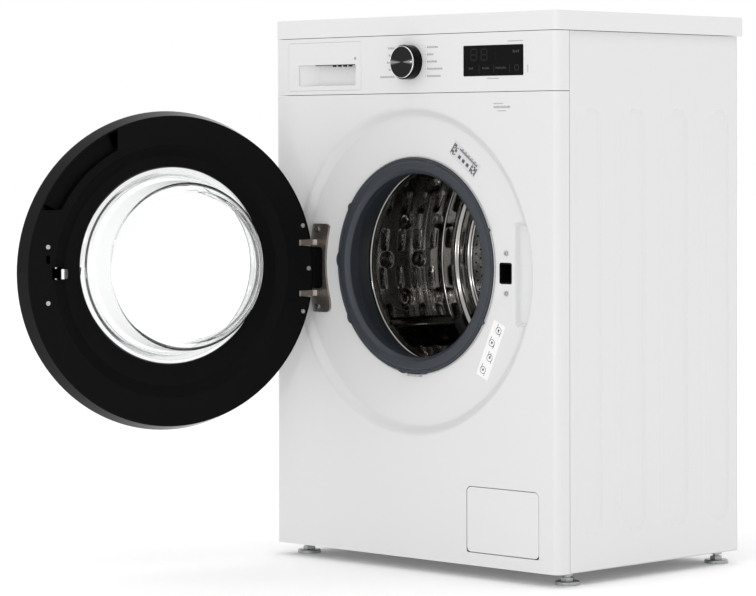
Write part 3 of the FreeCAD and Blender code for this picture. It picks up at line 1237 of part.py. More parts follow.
def handle_space(depth, grow=0.0):
    """A sector at the door's free side, from the grip's inner arc to past the rim."""
    inner, low, high = handle_corners()
    reach = DOOR_RADIUS + 30
    sector = front_prism([
        (0, DOOR_HEIGHT),
        (reach * 1.4 * math.cos(low), DOOR_HEIGHT + reach * 1.4 * math.sin(low)),
        (reach * 1.4 * math.cos(high), DOOR_HEIGHT + reach * 1.4 * math.sin(high)),
    ], DOOR_BACK - depth - grow, 20)
    return sector.cut(rod(inner - grow, (0, -100, DOOR_HEIGHT), (0, 100, DOOR_HEIGHT)))


def door_rim():
    """Outer ring of the door with its rounded edge."""
    w = DOOR_WALL
    y_wide = -DOOR_RIM_DEPTH
    y_front = -DOOR_FRONT_DEPTH + 7
    ring = turned([
        (DOOR_BACK_RADIUS, DOOR_BACK), (DOOR_RADIUS, y_wide, 6), (DOOR_RADIUS - 7, y_front, 6),
        (DOOR_RADIUS - 26, y_front), (DOOR_RADIUS - 26, y_front + w), (DOOR_RADIUS - 9, y_front + w, 4),
        (DOOR_RADIUS - w, y_wide, 4), (DOOR_BACK_RADIUS - w, DOOR_BACK),
    ], z=DOOR_HEIGHT)
    return opened(ring.cut(hinge_slots()))


def door_inner_cover():
    """Matt black inner face of the door, dished towards the window, with the grip hollow."""
    w = DOOR_WALL
    outer = DOOR_BACK_RADIUS - w - 0.2
    sink = 7.0
    back = DOOR_BACK
    face = turned([(outer, back), (outer, back - 9), (outer - w, back - 9), (outer - w, back - w),
                   (WINDOW_RING_RADIUS + 40, back - w - 0.6), (WINDOW_RING_RADIUS + 22, back - sink - w),
                   (0, back - sink - w), (0, back - sink), (WINDOW_RING_RADIUS + 23, back - sink),
                   (WINDOW_RING_RADIUS + 41, back - 0.6)], z=DOOR_HEIGHT)
    floor = back - 16.0
    grip = handle_space(16.0 + w).common(rod(outer, (0, floor - w, DOOR_HEIGHT),
                                             (0, back - 0.4, DOOR_HEIGHT)))
    inner, low, high = handle_corners()
    hollow = front_prism([
        (inner * math.cos(low) + w, DOOR_HEIGHT + inner * math.sin(low) + w),
        (outer * 1.3, DOOR_HEIGHT + inner * math.sin(low) + w),
        (outer * 1.3, DOOR_HEIGHT + outer * 1.3),
        (inner * math.cos(high) + w, DOOR_HEIGHT + outer * 1.3),
        (inner * math.cos(high) + w, DOOR_HEIGHT + inner * math.sin(high) + w),
    ], floor, 20).cut(rod(inner + w, (0, -60, DOOR_HEIGHT), (0, 30, DOOR_HEIGHT)))
    cover = join([face, grip]).cut(hollow)
    cuts = [
        rod(WINDOW_RING_RADIUS - 4.6, (0, -60, AXIS_HEIGHT), (0, 30, AXIS_HEIGHT)),
        box(LOCK_X - 10, LOCK_X + 12, -40, 10, LOCK_Z - 11, LOCK_Z + 8),
        box(LOCK_X + 15.5, LOCK_X + 21.5, -40, 10, LOCK_Z + 14, LOCK_Z + 26),
    ]
    for x, z in door_screw_places():
        cuts.append(rod(1.7, (x, -40, z), (x, 10, z)))
    return opened(cover.cut(cuts + hinge_slots()))


def door_screw_places():
    """Screws of the inner cover, three by the hinge and two by the latch."""
    r = DOOR_BACK_RADIUS - 8.7
    angles = [163, 180, 197]
    places = [(r * math.cos(math.radians(a)), DOOR_HEIGHT + r * math.sin(math.radians(a))) for a in angles]
    return places + [(LOCK_X + 19.5, LOCK_Z + 39), (LOCK_X + 19.5, LOCK_Z - 46)]


def door_screws():
    """Screws that hold the hinge plate and the latch to the door."""
    return opened(group([screw(x, DOOR_BACK, z, 1.7, 3.4, 8, 1) for x, z in door_screw_places()]))


def door_outer_cover():
    """Dark tinted outer window, gently domed."""
    r = DOOR_RADIUS - 9
    back = -DOOR_FRONT_DEPTH + 6.9
    return opened(turned([(r, back), (r, back - 2.4, 1.2), (r - 40, back - 6.9, 120), (0, back - 6.9),
                          (0, back - 3.9),
                          (r - 42, back - 3.9, 110), (r - 4, back)], z=DOOR_HEIGHT))


def window_ring():
    """Bright ring that clamps the glass bowl to the inner cover."""
    back = DOOR_BACK - 7.0
    ring = turned([(WINDOW_RING_RADIUS, back + 0.1), (WINDOW_RING_RADIUS - 1.5, back + 2.6, 1),
                   (WINDOW_RING_RADIUS - 8, back + 3.2, 2),
                   (WINDOW_RADIUS + 0.7, back + 0.6), (WINDOW_RADIUS + 0.7, back - 3),
                   (WINDOW_RING_RADIUS - 5, back - 3), (WINDOW_RING_RADIUS - 5, back + 0.1)], z=AXIS_HEIGHT)
    return opened(ring)


def glass_bowl():
    """Thick glass bowl of the door, tapering to a rounded end."""
    w = GLASS_WALL
    back = DOOR_BACK - 10.2
    end = DOOR_BACK - 7 + BOWL_DEPTH
    bowl = turned([
        (WINDOW_RING_RADIUS - 6, back), (WINDOW_RADIUS, back, 1), (WINDOW_RADIUS - 1, back + 8, 4),
        (BOWL_END_RADIUS + 3, end - 12, 12), (BOWL_END_RADIUS - 10, end, 10), (0, end + 2),
        (0, end + 2 - w), (BOWL_END_RADIUS - 12, end - w, 7), (BOWL_END_RADIUS - 2, end - 15, 8),
        (WINDOW_RADIUS - 1 - w, back + 6, 6), (WINDOW_RADIUS - w, back - w, 2),
        (WINDOW_RING_RADIUS - 6, back - w),
    ], z=AXIS_HEIGHT)
    return opened(bowl)


def hinge_block():
    """Block in the door between the two arms, with the steel hinge pin pressed through it."""
    half = HINGE_ARM_SPACING / 2 - HINGE_ARM_HEIGHT / 2 - 0.6
    y0 = HINGE_Y - 9
    y1 = HINGE_Y + 9
    x0 = HINGE_X - 9
    x1 = HINGE_X + 26
    block = plan_prism(rectangle(x0, x1, y0, y1, 4), DOOR_HEIGHT - half, DOOR_HEIGHT + half)
    block = block.common(rod(DOOR_BACK_RADIUS - 4.5, (0, -60, DOOR_HEIGHT), (0, 10, DOOR_HEIGHT)))
    reach = HINGE_ARM_SPACING / 2 + HINGE_ARM_HEIGHT / 2 + 1.5
    pin = rod(HINGE_PIN_RADIUS, (HINGE_X, HINGE_Y, DOOR_HEIGHT - reach),
              (HINGE_X, HINGE_Y, DOOR_HEIGHT + reach))
    return opened(join([block, pin]))


def latch_hook():
    """Sprung metal hook that enters the lock."""
    z0 = LOCK_Z - 9
    z1 = LOCK_Z + 6
    stem = plan_prism([(LOCK_X - 3, -20), (LOCK_X + 5, -20), (LOCK_X + 5, 18), (LOCK_X + 2, 21, 1.5),
                       (LOCK_X - 7, 14),
                       (LOCK_X - 7, 11), (LOCK_X - 3, 11)], z0, z1)
    pivot = rod(2.5, (LOCK_X + 1, -17, z0 - 4), (LOCK_X + 1, -17, z1 + 4))
    return opened(join([stem, pivot]))


PIECES = {
    "worktop": worktop,
    "left_side_panel": left_side_panel,
    "right_side_panel": right_side_panel,
    "front_panel": front_panel,
    "control_panel": control_panel,
    "back_panel": back_panel,
    "floor_pan": floor_pan,
    "top_brace": top_brace,
    "display_window": display_window,
    "display_board": display_board,
    "main_board": main_board,
    "dispenser_housing": dispenser_housing,
    "inlet_valve": inlet_valve,
    "door_lock": door_lock,
    "hinge_bracket": hinge_bracket,
    "hinge_reinforcement": hinge_reinforcement,
    "cabinet_screws": cabinet_screws,
    "drain_pump": drain_pump,
    "drain_outlet": drain_outlet,
    "damper_cylinders": damper_cylinders,
    "cord_gland": cord_gland,
    "transit_caps": transit_caps,
    "gasket": gasket,
    "gasket_front_clamp": gasket_front_clamp,
    "filter_recess": filter_recess,
    "foot_lock_nuts": foot_lock_nuts,
    "tub_front": tub_front,
    "tub_rear": tub_rear,
    "counterweights": counterweights,
    "suspension_springs": suspension_springs,
    "damper_rods": damper_rods,
    "stator": stator,
    "bearings": bearings,
    "heater": heater,
    "sump_hose": sump_hose,
    "tub_fill_hose": tub_fill_hose,
    "drum_shell": drum_shell,
    "drum_back": drum_back,
    "drum_lifters": drum_lifters,
    "drum_spider": drum_spider,
    "drum_shaft": drum_shaft,
    "rotor": rotor,
    "door_rim": door_rim,
    "door_inner_cover": door_inner_cover,
    "door_outer_cover": door_outer_cover,
    "window_ring": window_ring,
    "glass_bowl": glass_bowl,
    "hinge_block": hinge_block,
    "door_screws": door_screws,
    "latch_hook": latch_hook,
    "program_knob": knob,
    "knob_ring": knob_ring,
    "drawer_front": drawer_front,
    "drawer_box": drawer_box,
    "pump_flap": pump_flap,
    "drain_filter_cap": drain_filter_cap,
}

os.makedirs("parts", exist_ok=True)
for name, build in PIECES.items():
    shape = build()
    shape.translate(vec(0, -ORIGIN_Y, 0))
    shape.exportStep(f"parts/{name}.step")
feet = ["front_left_foot", "front_right_foot", "rear_left_foot", "rear_right_foot"]
for index, name in enumerate(feet):
    shape = foot(index)
    shape.translate(vec(0, -ORIGIN_Y, 0))
    shape.exportStep(f"parts/{name}.step")
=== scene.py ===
import json
import math

import bmesh
import bpy
import numpy as np
from bpy.props import FloatProperty, FloatVectorProperty, IntProperty, PointerProperty
from mathutils import Matrix, Vector


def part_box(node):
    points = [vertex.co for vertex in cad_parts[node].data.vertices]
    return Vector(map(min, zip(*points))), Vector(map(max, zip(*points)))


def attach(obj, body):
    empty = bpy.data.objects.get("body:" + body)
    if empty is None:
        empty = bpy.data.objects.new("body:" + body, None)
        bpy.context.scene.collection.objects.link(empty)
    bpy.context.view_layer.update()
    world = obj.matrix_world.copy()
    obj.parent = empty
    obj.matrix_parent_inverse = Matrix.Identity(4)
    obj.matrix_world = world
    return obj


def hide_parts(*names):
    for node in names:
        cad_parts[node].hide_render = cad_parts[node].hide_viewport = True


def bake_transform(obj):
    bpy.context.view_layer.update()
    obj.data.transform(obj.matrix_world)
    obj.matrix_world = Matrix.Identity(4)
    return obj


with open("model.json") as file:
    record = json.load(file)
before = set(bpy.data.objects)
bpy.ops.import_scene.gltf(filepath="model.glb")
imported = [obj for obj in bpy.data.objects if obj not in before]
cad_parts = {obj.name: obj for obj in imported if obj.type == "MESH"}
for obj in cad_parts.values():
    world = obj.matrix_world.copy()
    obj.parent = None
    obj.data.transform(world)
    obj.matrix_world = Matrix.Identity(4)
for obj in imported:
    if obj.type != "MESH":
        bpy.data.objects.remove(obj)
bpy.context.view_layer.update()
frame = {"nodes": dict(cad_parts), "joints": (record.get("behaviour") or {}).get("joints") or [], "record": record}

bl_info = {
    "name": "Front Load Washer",
    "version": (1, 0, 0),
    "blender": (4, 5, 0),
    "location": "View3D > Sidebar > Washer",
    "description": "Finishes and fine pieces for a slim front load washing machine",
    "category": "Add Mesh",
}

NODES = frame["nodes"]


# ---------------------------------------------------------------- places taken from the frame

def joint(name):
    return next(j for j in frame["joints"] if j["name"] == name)


def door_swing():
    """The matrix that takes the closed door to the open door at rest."""
    hinge = joint("door_hinge")
    pivot = Matrix.Translation(Vector(hinge["pos_m"]))
    turn = Matrix.Rotation(-math.radians(hinge["range_deg"][1]), 4, "Z")
    return pivot @ turn @ pivot.inverted()


DOOR_SWING = door_swing()


def closed_box(node):
    """Lowest and highest corner of a door node with the door closed."""
    shut = DOOR_SWING.inverted()
    points = np.array([shut @ v.co for v in NODES[node].data.vertices])
    return Vector(points.min(0)), Vector(points.max(0))


def middle(node):
    low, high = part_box(node)
    return (low + high) / 2


# ---------------------------------------------------------------- shader writing

class Value:
    """A float socket that takes part in ordinary arithmetic."""

    def __init__(self, surface, socket):
        self.surface = surface
        self.socket = socket

    def math(self, operation, *others):
        inputs = {0: self}
        for place, other in enumerate(others, 1):
            inputs[place] = other
        made = self.surface.node("ShaderNodeMath", {"operation": operation}, inputs)
        return Value(self.surface, made.outputs[0])

    def reflected(self, operation, other):
        made = self.surface.node("ShaderNodeMath", {"operation": operation}, {0: other, 1: self})
        return Value(self.surface, made.outputs[0])

    def __add__(self, other):
        return self.math("ADD", other)

    def __sub__(self, other):
        return self.math("SUBTRACT", other)

    def __mul__(self, other):
        return self.math("MULTIPLY", other)

    def __truediv__(self, other):
        return self.math("DIVIDE", other)

    def __pow__(self, other):
        return self.math("POWER", other)

    def __gt__(self, other):
        return self.math("GREATER_THAN", other)

    def __lt__(self, other):
        return self.math("LESS_THAN", other)

    def __radd__(self, other):
        return self.reflected("ADD", other)

    def __rmul__(self, other):
        return self.reflected("MULTIPLY", other)

    def __rsub__(self, other):
        return self.reflected("SUBTRACT", other)

    def __rtruediv__(self, other):
        return self.reflected("DIVIDE", other)

    def __rpow__(self, other):
        return self.reflected("POWER", other)


class Surface:
    """A node material round one Principled shader, with short ways to add nodes."""

    def __init__(self, name, **constants):
        self.material = bpy.data.materials.new(name)
        self.material.use_nodes = True
        self.tree = self.material.node_tree
        self.tree.nodes.clear()
        self.output = self.tree.nodes.new("ShaderNodeOutputMaterial")
        self.shader = self.node("ShaderNodeBsdfPrincipled", {}, {})
        self.tree.links.new(self.shader.outputs[0], self.output.inputs[0])
        self.set(**constants)
        colour = constants.get("Base_Color", (0.8, 0.8, 0.8))
        if isinstance(colour, tuple):
            self.material.diffuse_color = (*colour, 1.0)

    def node(self, kind, settings, inputs):
        """Add any node: its type, its settings, and a value or link for each named input."""
        made = self.tree.nodes.new(kind)
        for key, value in settings.items():
            setattr(made, key, value)
        for key, value in inputs.items():
            self.put(made.inputs[key], value)
        return made

    def put(self, socket, value):
        if isinstance(value, Value):
            value = value.socket
        if isinstance(value, bpy.types.NodeSocket):
            self.tree.links.new(value, socket)
        elif socket.type == "RGBA":
            socket.default_value = (*value, 1.0)
        else:
            socket.default_value = value

    def set(self, **sockets):
        for key, value in sockets.items():
            self.put(self.shader.inputs[key.replace("_", " ")], value)
        return self

    def place(self):
        return self.node("ShaderNodeTexCoord", {}, {}).outputs["Object"]

    def axes(self):
        split = self.node("ShaderNodeSeparateXYZ", {}, {0: self.place()})
        return [Value(self, split.outputs[i]) for i in range(3)]

    def stretched(self, scale):
        return self.node("ShaderNodeMapping", {}, {"Vector": self.place(), "Scale": scale}).outputs[0]

    def noise(self, scale, detail=3.0, roughness=0.5, where=None):
        inputs = {"Vector": where or self.place(), "Scale": scale, "Detail": detail, "Roughness": roughness}
        return Value(self, self.node("ShaderNodeTexNoise", {}, inputs).outputs[0])

    def mix(self, factor, first, second):
        made = self.node("ShaderNodeMix", {"data_type": "RGBA"}, {0: factor, 6: first, 7: second})
        return made.outputs[2]

    def bump(self, height, strength, distance):
        inputs = {"Height": height, "Strength": strength, "Distance": distance}
        return self.set(Normal=self.node("ShaderNodeBump", {}, inputs).outputs[0])


# ---------------------------------------------------------------- finishes

def chosen(name):
    """A colour picked in the finish settings."""
    return tuple(getattr(bpy.context.scene.washer_finish, name))


def enamel():
    s = Surface("white enamel", Base_Color=chosen("enamel_colour"), Roughness=0.3, Coat_Weight=0.15,
                Coat_Roughness=0.1)
    return s.bump(s.noise(700.0, 2.0), 0.05, 0.0002)


def laminate():
    s = Surface("white laminate", Base_Color=chosen("top_colour"), Roughness=0.38)
    return s.bump(s.noise(1500.0, 2.0), 0.08, 0.0002)


def white_plastic():
    s = Surface("white plastic", Base_Color=chosen("plastic_colour"), Roughness=0.36)
    return s.bump(s.noise(1800.0, 2.0), 0.06, 0.0001)


def black_gloss():
    s = Surface("black gloss plastic", Base_Color=(0.003, 0.003, 0.0032), Specular_IOR_Level=0.07)
    return s.set(Roughness=s.noise(60.0) * 0.05 + 0.05)


def black_matt():
    s = Surface("black matt plastic", Base_Color=(0.003, 0.0031, 0.0031), Roughness=0.5,
                Specular_IOR_Level=0.06)
    return s.bump(s.noise(2200.0, 2.0), 0.12, 0.0001)


def zinc_plate():
    s = Surface("zinc plate", Metallic=1.0)
    patches = s.noise(240.0, 4.0, 0.6)
    s.set(Base_Color=s.mix(patches, (0.26, 0.27, 0.265), (0.56, 0.57, 0.56)))
    return s.set(Roughness=patches * 0.25 + 0.22)


def cast_metal():
    s = Surface("cast metal", Metallic=0.9)
    patches = s.noise(300.0, 5.0, 0.6)
    s.set(Base_Color=s.mix(patches, (0.2, 0.17, 0.15), (0.42, 0.38, 0.35)), Roughness=patches * 0.2 + 0.25)
    return s.bump(patches, 0.2, 0.0004)


def stainless():
    s = Surface("polished stainless", Metallic=1.0)
    brush = s.noise(1.0, 2.0, 0.5, s.stretched((12.0, 240.0, 12.0)))
    s.set(Base_Color=s.mix(brush, (0.3, 0.292, 0.28), (0.36, 0.35, 0.335)))
    return s.set(Roughness=brush * 0.04 + 0.1)


def chrome():
    s = Surface("chrome", Base_Color=(0.86, 0.86, 0.87), Metallic=1.0)
    return s.set(Roughness=s.noise(90.0) * 0.05 + 0.04)


def tinted_cover():
    s = Surface("dark tinted cover", Base_Color=chosen("cover_colour"), Specular_IOR_Level=0.1)
    return s.set(Roughness=s.noise(30.0) * 0.03 + 0.03)


def clear_cover():
    s = Surface("clear cover", Base_Color=(1.0, 1.0, 1.0), Transmission_Weight=1.0, IOR=1.3)
    return s.set(Roughness=s.noise(30.0) * 0.005)


def clear_glass():
    s = Surface("clear glass", Base_Color=(0.985, 1.0, 0.99), Transmission_Weight=1.0, IOR=1.48)
    return s.set(Roughness=s.noise(40.0) * 0.01)


def grey_rubber():
    s = Surface("slate rubber", Roughness=0.46)
    patches = s.noise(120.0, 4.0)
    base = chosen("rubber_colour")
    s.set(Base_Color=s.mix(patches, tuple(0.86 * c for c in base), tuple(1.1 * c for c in base)))
    return s.bump(s.noise(900.0), 0.1, 0.0002)


def dark_rubber():
    s = Surface("black rubber", Base_Color=(0.018, 0.018, 0.019), Roughness=0.6)
    return s.bump(s.noise(900.0), 0.15, 0.0002)


def grey_plastic():
    s = Surface("grey filled plastic", Roughness=0.5)
    patches = s.noise(160.0, 4.0)
    s.set(Base_Color=s.mix(patches, (0.26, 0.27, 0.28), (0.36, 0.37, 0.38)))
    return s.bump(patches, 0.1, 0.0003)


def circuit_board():
    s = Surface("circuit board", Roughness=0.35)
    tracks = s.noise(500.0, 0.0) > 0.52
    return s.set(Base_Color=s.mix(tracks, (0.012, 0.07, 0.03), (0.03, 0.16, 0.07)))


def concrete():
    s = Surface("cast concrete", Roughness=0.85)
    grains = s.noise(220.0, 8.0, 0.7)
    s.set(Base_Color=s.mix(grains, (0.3, 0.29, 0.27), (0.5, 0.49, 0.46)))
    return s.bump(grains, 0.5, 0.001)


def die_cast():
    s = Surface("die cast aluminium", Metallic=1.0)
    patches = s.noise(260.0, 4.0)
    s.set(Base_Color=s.mix(patches, (0.45, 0.45, 0.46), (0.62, 0.62, 0.63)), Roughness=patches * 0.2 + 0.35)
    return s.bump(patches, 0.15, 0.0003)


def plain_steel():
    s = Surface("plain steel", Metallic=1.0)
    patches = s.noise(300.0, 3.0)
    return s.set(Base_Color=s.mix(patches, (0.4, 0.4, 0.4), (0.6, 0.6, 0.6)), Roughness=patches * 0.2 + 0.2)


def winding():
    s = Surface("enamelled winding", Metallic=0.6, Roughness=0.35)
    wires = (s.axes()[1] * 2200.0).math("SINE") * 0.5 + 0.5
    s.set(Base_Color=s.mix(wires, (0.28, 0.09, 0.03), (0.55, 0.24, 0.1)))
    return s.bump(wires, 0.5, 0.0004)


def brushed_black():
    """Dark brushed face with a painted highlight: a bright band from side to side painted into the colour in place
    of the reflection a turned face shows.
    """
    s = Surface("brushed black", Metallic=0.7, Roughness=0.3)
    x, _, z = s.axes()
    level = middle("program_knob").z
    across = x * x
    upright = (z - level) * (z - level)
    # Painted highlight: a bright band across the face, painted into the base colour.
    painted_highlight = (across / (across + upright + 1e-7)) ** 60.0
    return s.set(Base_Color=s.mix(painted_highlight, (0.008, 0.008, 0.009), (0.3, 0.3, 0.3)))


def mottled(name, scale, first, second, **constants):
    """A finish that wanders softly between two colours."""
    s = Surface(name, **constants)
    return s.set(Base_Color=s.mix(s.noise(scale), first, second))


def screen_glow():
    return mottled("unlit screen marks", 200.0, (0.013, 0.013, 0.0135), (0.019, 0.019, 0.02), Roughness=0.3)


def screen_dim():
    return mottled("unlit digits", 200.0, (0.0065, 0.0065, 0.007), (0.009, 0.009, 0.0095), Roughness=0.3,
                   Specular_IOR_Level=0.12)


def label_grey():
    return mottled("grey label", 400.0, (0.6, 0.6, 0.61), (0.66, 0.66, 0.67), Roughness=0.45)


def label_white():
    return mottled("white label", 400.0, (0.86, 0.86, 0.86), (0.89, 0.89, 0.89), Roughness=0.45)


def print_red():
    return mottled("printed red", 300.0, (0.55, 0.08, 0.05), (0.62, 0.16, 0.08), Roughness=0.5)


def print_grey():
    return mottled("printed grey", 300.0, (0.26, 0.26, 0.27), (0.32, 0.32, 0.33), Roughness=0.5)


def print_black():
    return mottled("printed black", 300.0, (0.05, 0.05, 0.055), (0.09, 0.09, 0.095), Roughness=0.5)


def deep_shadow():
    # Painted shade: near-black strips and blocks put where a recess lies in shadow.
    return mottled("dark recess", 300.0, (0.02, 0.02, 0.02), (0.03, 0.03, 0.03), Roughness=0.7,
                   Specular_IOR_Level=0.1)


FINISHES = {
    "white_enamel": enamel,
    "white_top": laminate,
    "white_plastic": white_plastic,
    "black_gloss": black_gloss,
    "black_matte": black_matt,
    "zinc": zinc_plate,
    "cast_zinc": cast_metal,
    "stainless": stainless,
    "chrome": chrome,
    "tinted_cover": tinted_cover,
    "clear_glass": clear_glass,
    "grey_rubber": grey_rubber,
    "dark_rubber": dark_rubber,
    "grey_plastic": grey_plastic,
    "board_green": circuit_board,
    "concrete": concrete,
    "aluminium": die_cast,
    "steel": plain_steel,
    "copper_winding": winding,
    "print_grey": print_grey,
    "clear_cover": clear_cover,
    "deep_shadow": deep_shadow,
    "brushed_black": brushed_black,
    "screen_glow": screen_glow,
    "screen_dim": screen_dim,
    "label_grey": label_grey,
    "label_white": label_white,
    "print_red": print_red,
    "print_black": print_black,
}
MADE = {}


def finish_of(name):
    """The material of that name, made once."""
    if name not in MADE:
        MADE[name] = FINISHES[name]().material
    return MADE[name]


# ---------------------------------------------------------------- stage

CAMERA_PLACE = (3.425367, -3.754113, 0.645365)
CAMERA_TURN = (44.719, 0.377, -0.103)
CAMERA_SHIFT = -0.1685
SENSOR_WIDTH = 36.0
GLINT_TARGET = (-0.1, 0.0, 0.46)
FLOOR_REACH = 30.0
FLOOR_VARIES = 0.01


def aim(camera, azimuth, pitch, roll):
    """Turn the camera: azimuth 0 looks along +Y, pitch is downward, all in radians."""
    level = math.cos(pitch)
    ahead = Vector((-math.sin(azimuth) * level, math.cos(azimuth) * level, -math.sin(pitch)))
    right = Vector((math.cos(azimuth), math.sin(azimuth), 0.0))
    up = right.cross(ahead)
    turn = Matrix((right, up, -ahead)).transposed()
    camera.rotation_euler = (turn @ Matrix.Rotation(roll, 3, "Z")).to_euler()


def build_camera(settings):
    data = bpy.data.cameras.new("camera")
    data.lens = settings.lens
    data.sensor_width = SENSOR_WIDTH
    data.shift_y = CAMERA_SHIFT
    camera = bpy.data.objects.new("camera", data)
    bpy.context.scene.collection.objects.link(camera)
    camera.location = CAMERA_PLACE
    aim(camera, *(math.radians(turn) for turn in CAMERA_TURN))
    bpy.context.scene.camera = camera


def sun_light(name, spread, strength):
    """A soft light from straight above."""
    data = bpy.data.lights.new(name, "SUN")
    data.angle = math.radians(spread)
    data.energy = strength
    light = bpy.data.objects.new(name, data)
    bpy.context.scene.collection.objects.link(light)
    light.location = (0.0, 0.0, 3.0)


def small_light(name, place, size, power):
    """A small square light that gives the polished metal its glints."""
    data = bpy.data.lights.new(name, "AREA")
    data.size = size
    data.energy = power
    light = bpy.data.objects.new(name, data)
    bpy.context.scene.collection.objects.link(light)
    light.location = place
    light.rotation_euler = (Vector(GLINT_TARGET) - Vector(place)).to_track_quat("-Z", "Y").to_euler()


def build_world(settings):
    world = bpy.data.worlds.new("studio")
    world.use_nodes = True
    background = world.node_tree.nodes["Background"]
    background.inputs[0].default_value = (1.0, 1.0, 1.0, 1.0)
    background.inputs[1].default_value = settings.surround
    bpy.context.scene.world = world


def build_floor(settings):
    mesh = bpy.data.meshes.new("floor")
    reach = FLOOR_REACH
    corners = [(-reach, -reach, 0.0), (reach, -reach, 0.0), (reach, reach, 0.0), (-reach, reach, 0.0)]
    mesh.from_pydata(corners, [], [(0, 1, 2, 3)])
    floor = bpy.data.objects.new("floor", mesh)
    bpy.context.scene.collection.objects.link(floor)
    s = Surface("floor", Roughness=0.9, Emission_Color=(1.0, 1.0, 1.0), Emission_Strength=0.1)
    dark, light = settings.floor_tone - FLOOR_VARIES, settings.floor_tone + FLOOR_VARIES
    s.set(Base_Color=s.mix(s.noise(3.0), (dark,) * 3, (light,) * 3))
    mesh.materials.append(s.material)


def build_stage(settings):
    build_world(settings)
    build_floor(settings)
    build_camera(settings)
    sun_light("top light", 60.0, settings.top_light)
    small_light("glint light", (1.5, -2.9, 1.25), 0.28, settings.glint_power)
    small_light("side glint light", (0.6, -2.4, 0.2), 0.2, settings.glint_power * 0.4)
    bpy.context.scene.view_settings.view_transform = "Standard"


def give_finishes():
    for part in frame["record"]["subparts"]:
        node = NODES[part["node"]]
        node.data.materials.clear()
        node.data.materials.append(finish_of(part["material_slot"]))


# ---------------------------------------------------------------- mesh building

FRONT_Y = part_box("front_panel")[0].y
CONSOLE_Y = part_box("control_panel")[0].y
DRUM_LOW, DRUM_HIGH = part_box("drum_shell")
DRUM_AXIS = Vector((0.0, 0.0, (DRUM_LOW.z + DRUM_HIGH.z) / 2))
DOOR_AXIS = Vector((0.0, 0.0, (closed_box("door_rim")[0].z + closed_box("door_rim")[1].z) / 2))
SHEET = 0.0008
INK = 0.00008
BEDDED = 0.0002
PINHOLE = 0.0005


def loose_piece(name, mesh, finish, smooth=35.0):
    """Put a mesh in the scene with its finish and smooth shading."""
    mesh.materials.append(finish_of(finish))
    obj = bpy.data.objects.new(name, mesh)
    bpy.context.scene.collection.objects.link(obj)
    mesh.shade_smooth()
    if smooth:
        mesh.set_sharp_from_angle(angle=math.radians(smooth))
    return obj


def new_piece(name, mesh, finish, body, smooth=35.0):
    """A piece that rides on a body; door pieces are drawn with the door closed."""
    obj = loose_piece(name, mesh, finish, smooth)
    if body == "door":
        obj.matrix_world = DOOR_SWING
    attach(obj, body)
    return obj


def mesh_of(name, points, faces):
    mesh = bpy.data.meshes.new(name)
    mesh.from_pydata([tuple(p) for p in points], [], faces)
    mesh.validate()
    mesh.update()
    return mesh


def rounded(corners, steps=5):
    """Points along (r, y) or (r, y, radius) corners, with each stated radius drawn as an arc."""
    line = []
    for i, corner in enumerate(corners):
        here = Vector(corner[:2])
        if len(corner) < 3 or i in (0, len(corners) - 1):
            line.append(here)
            continue
        before = (Vector(corners[i - 1][:2]) - here).normalized()
        after = (Vector(corners[i + 1][:2]) - here).normalized()
        half = before.angle(after) / 2
        reach = corner[2] / math.tan(half)
        centre = here + (before + after).normalized() * (corner[2] / math.sin(half))
        start = here + before * reach - centre
        end = here + after * reach - centre
        turn = start.angle_signed(end)
        for k in range(steps + 1):
            line.append(centre + Matrix.Rotation(-turn * k / steps, 2) @ start)
    return line


def lathe(name, corners, axis, segments=192, closed=True, steps=5):
    """A ring turned about a line along Y through axis, from corners (radius, y) in metres."""
    line = rounded(corners, steps)
    count = len(line)
    points = []
    for k in range(segments):
        a = 2 * math.pi * k / segments
        for r, y in line:
            points.append((axis.x + r * math.cos(a), y, axis.z + r * math.sin(a)))
    faces = []
    last = count if closed else count - 1
    for k in range(segments):
        n = (k + 1) % segments
        for i in range(last):
            j = (i + 1) % count
            faces.append((k * count + i, k * count + j, n * count + j, n * count + i))
    return mesh_of(name, points, faces)


def merged(meshes, name):
    """One mesh from several."""
    out = bmesh.new()
    for mesh in meshes:
        out.from_mesh(mesh)
        bpy.data.meshes.remove(mesh)
    made = bpy.data.meshes.new(name)
    out.to_mesh(made)
    out.free()
    return made


def slab(corners, low, high):
    """A thin block from an (x, z) outline, from y low to y high."""
    n = len(corners)
    points = [(x, low, z) for x, z in corners] + [(x, high, z) for x, z in corners]
    faces = [tuple(range(n)), tuple(range(2 * n - 1, n - 1, -1))]
    faces += [(i, i + n, (i + 1) % n + n, (i + 1) % n) for i in range(n)]
    return mesh_of("slab", points, faces)


def bar(x0, x1, z0, z1, low, high):
    return slab([(x0, z0), (x1, z0), (x1, z1), (x0, z1)], low, high)


def disc(x, z, radius, low, high, sides=20):
    turns = [2 * math.pi * k / sides for k in range(sides)]
    return slab([(x + radius * math.cos(a), z + radius * math.sin(a)) for a in turns], low, high)


def ring(x, z, outer, inner, low, high):
    centre = Vector((x, 0.0, z))
    return lathe("ring", [(inner, low), (outer, low), (outer, high), (inner, high)], centre, 40)


# ---------------------------------------------------------------- the drum

def barrel_pattern(settings, span, length):
    """Centres of the three-hole bosses and of the large shells on one sector of the barrel."""
    columns = int(length / settings.boss_pitch)
    pitch = length / columns
    bosses, shells = [], []
    for row in (0.25, 0.75):
        for column in range(columns):
            shift = 0.0 if row < 0.5 else pitch * 0.12
            bosses.append((row * span, (column + 0.5) * pitch + shift))
            if column % 2 == (0 if row < 0.5 else 1):
                shells.append(((row - 0.25) * span + span * 0.01, (column + 0.75) * pitch))
    return bosses, shells


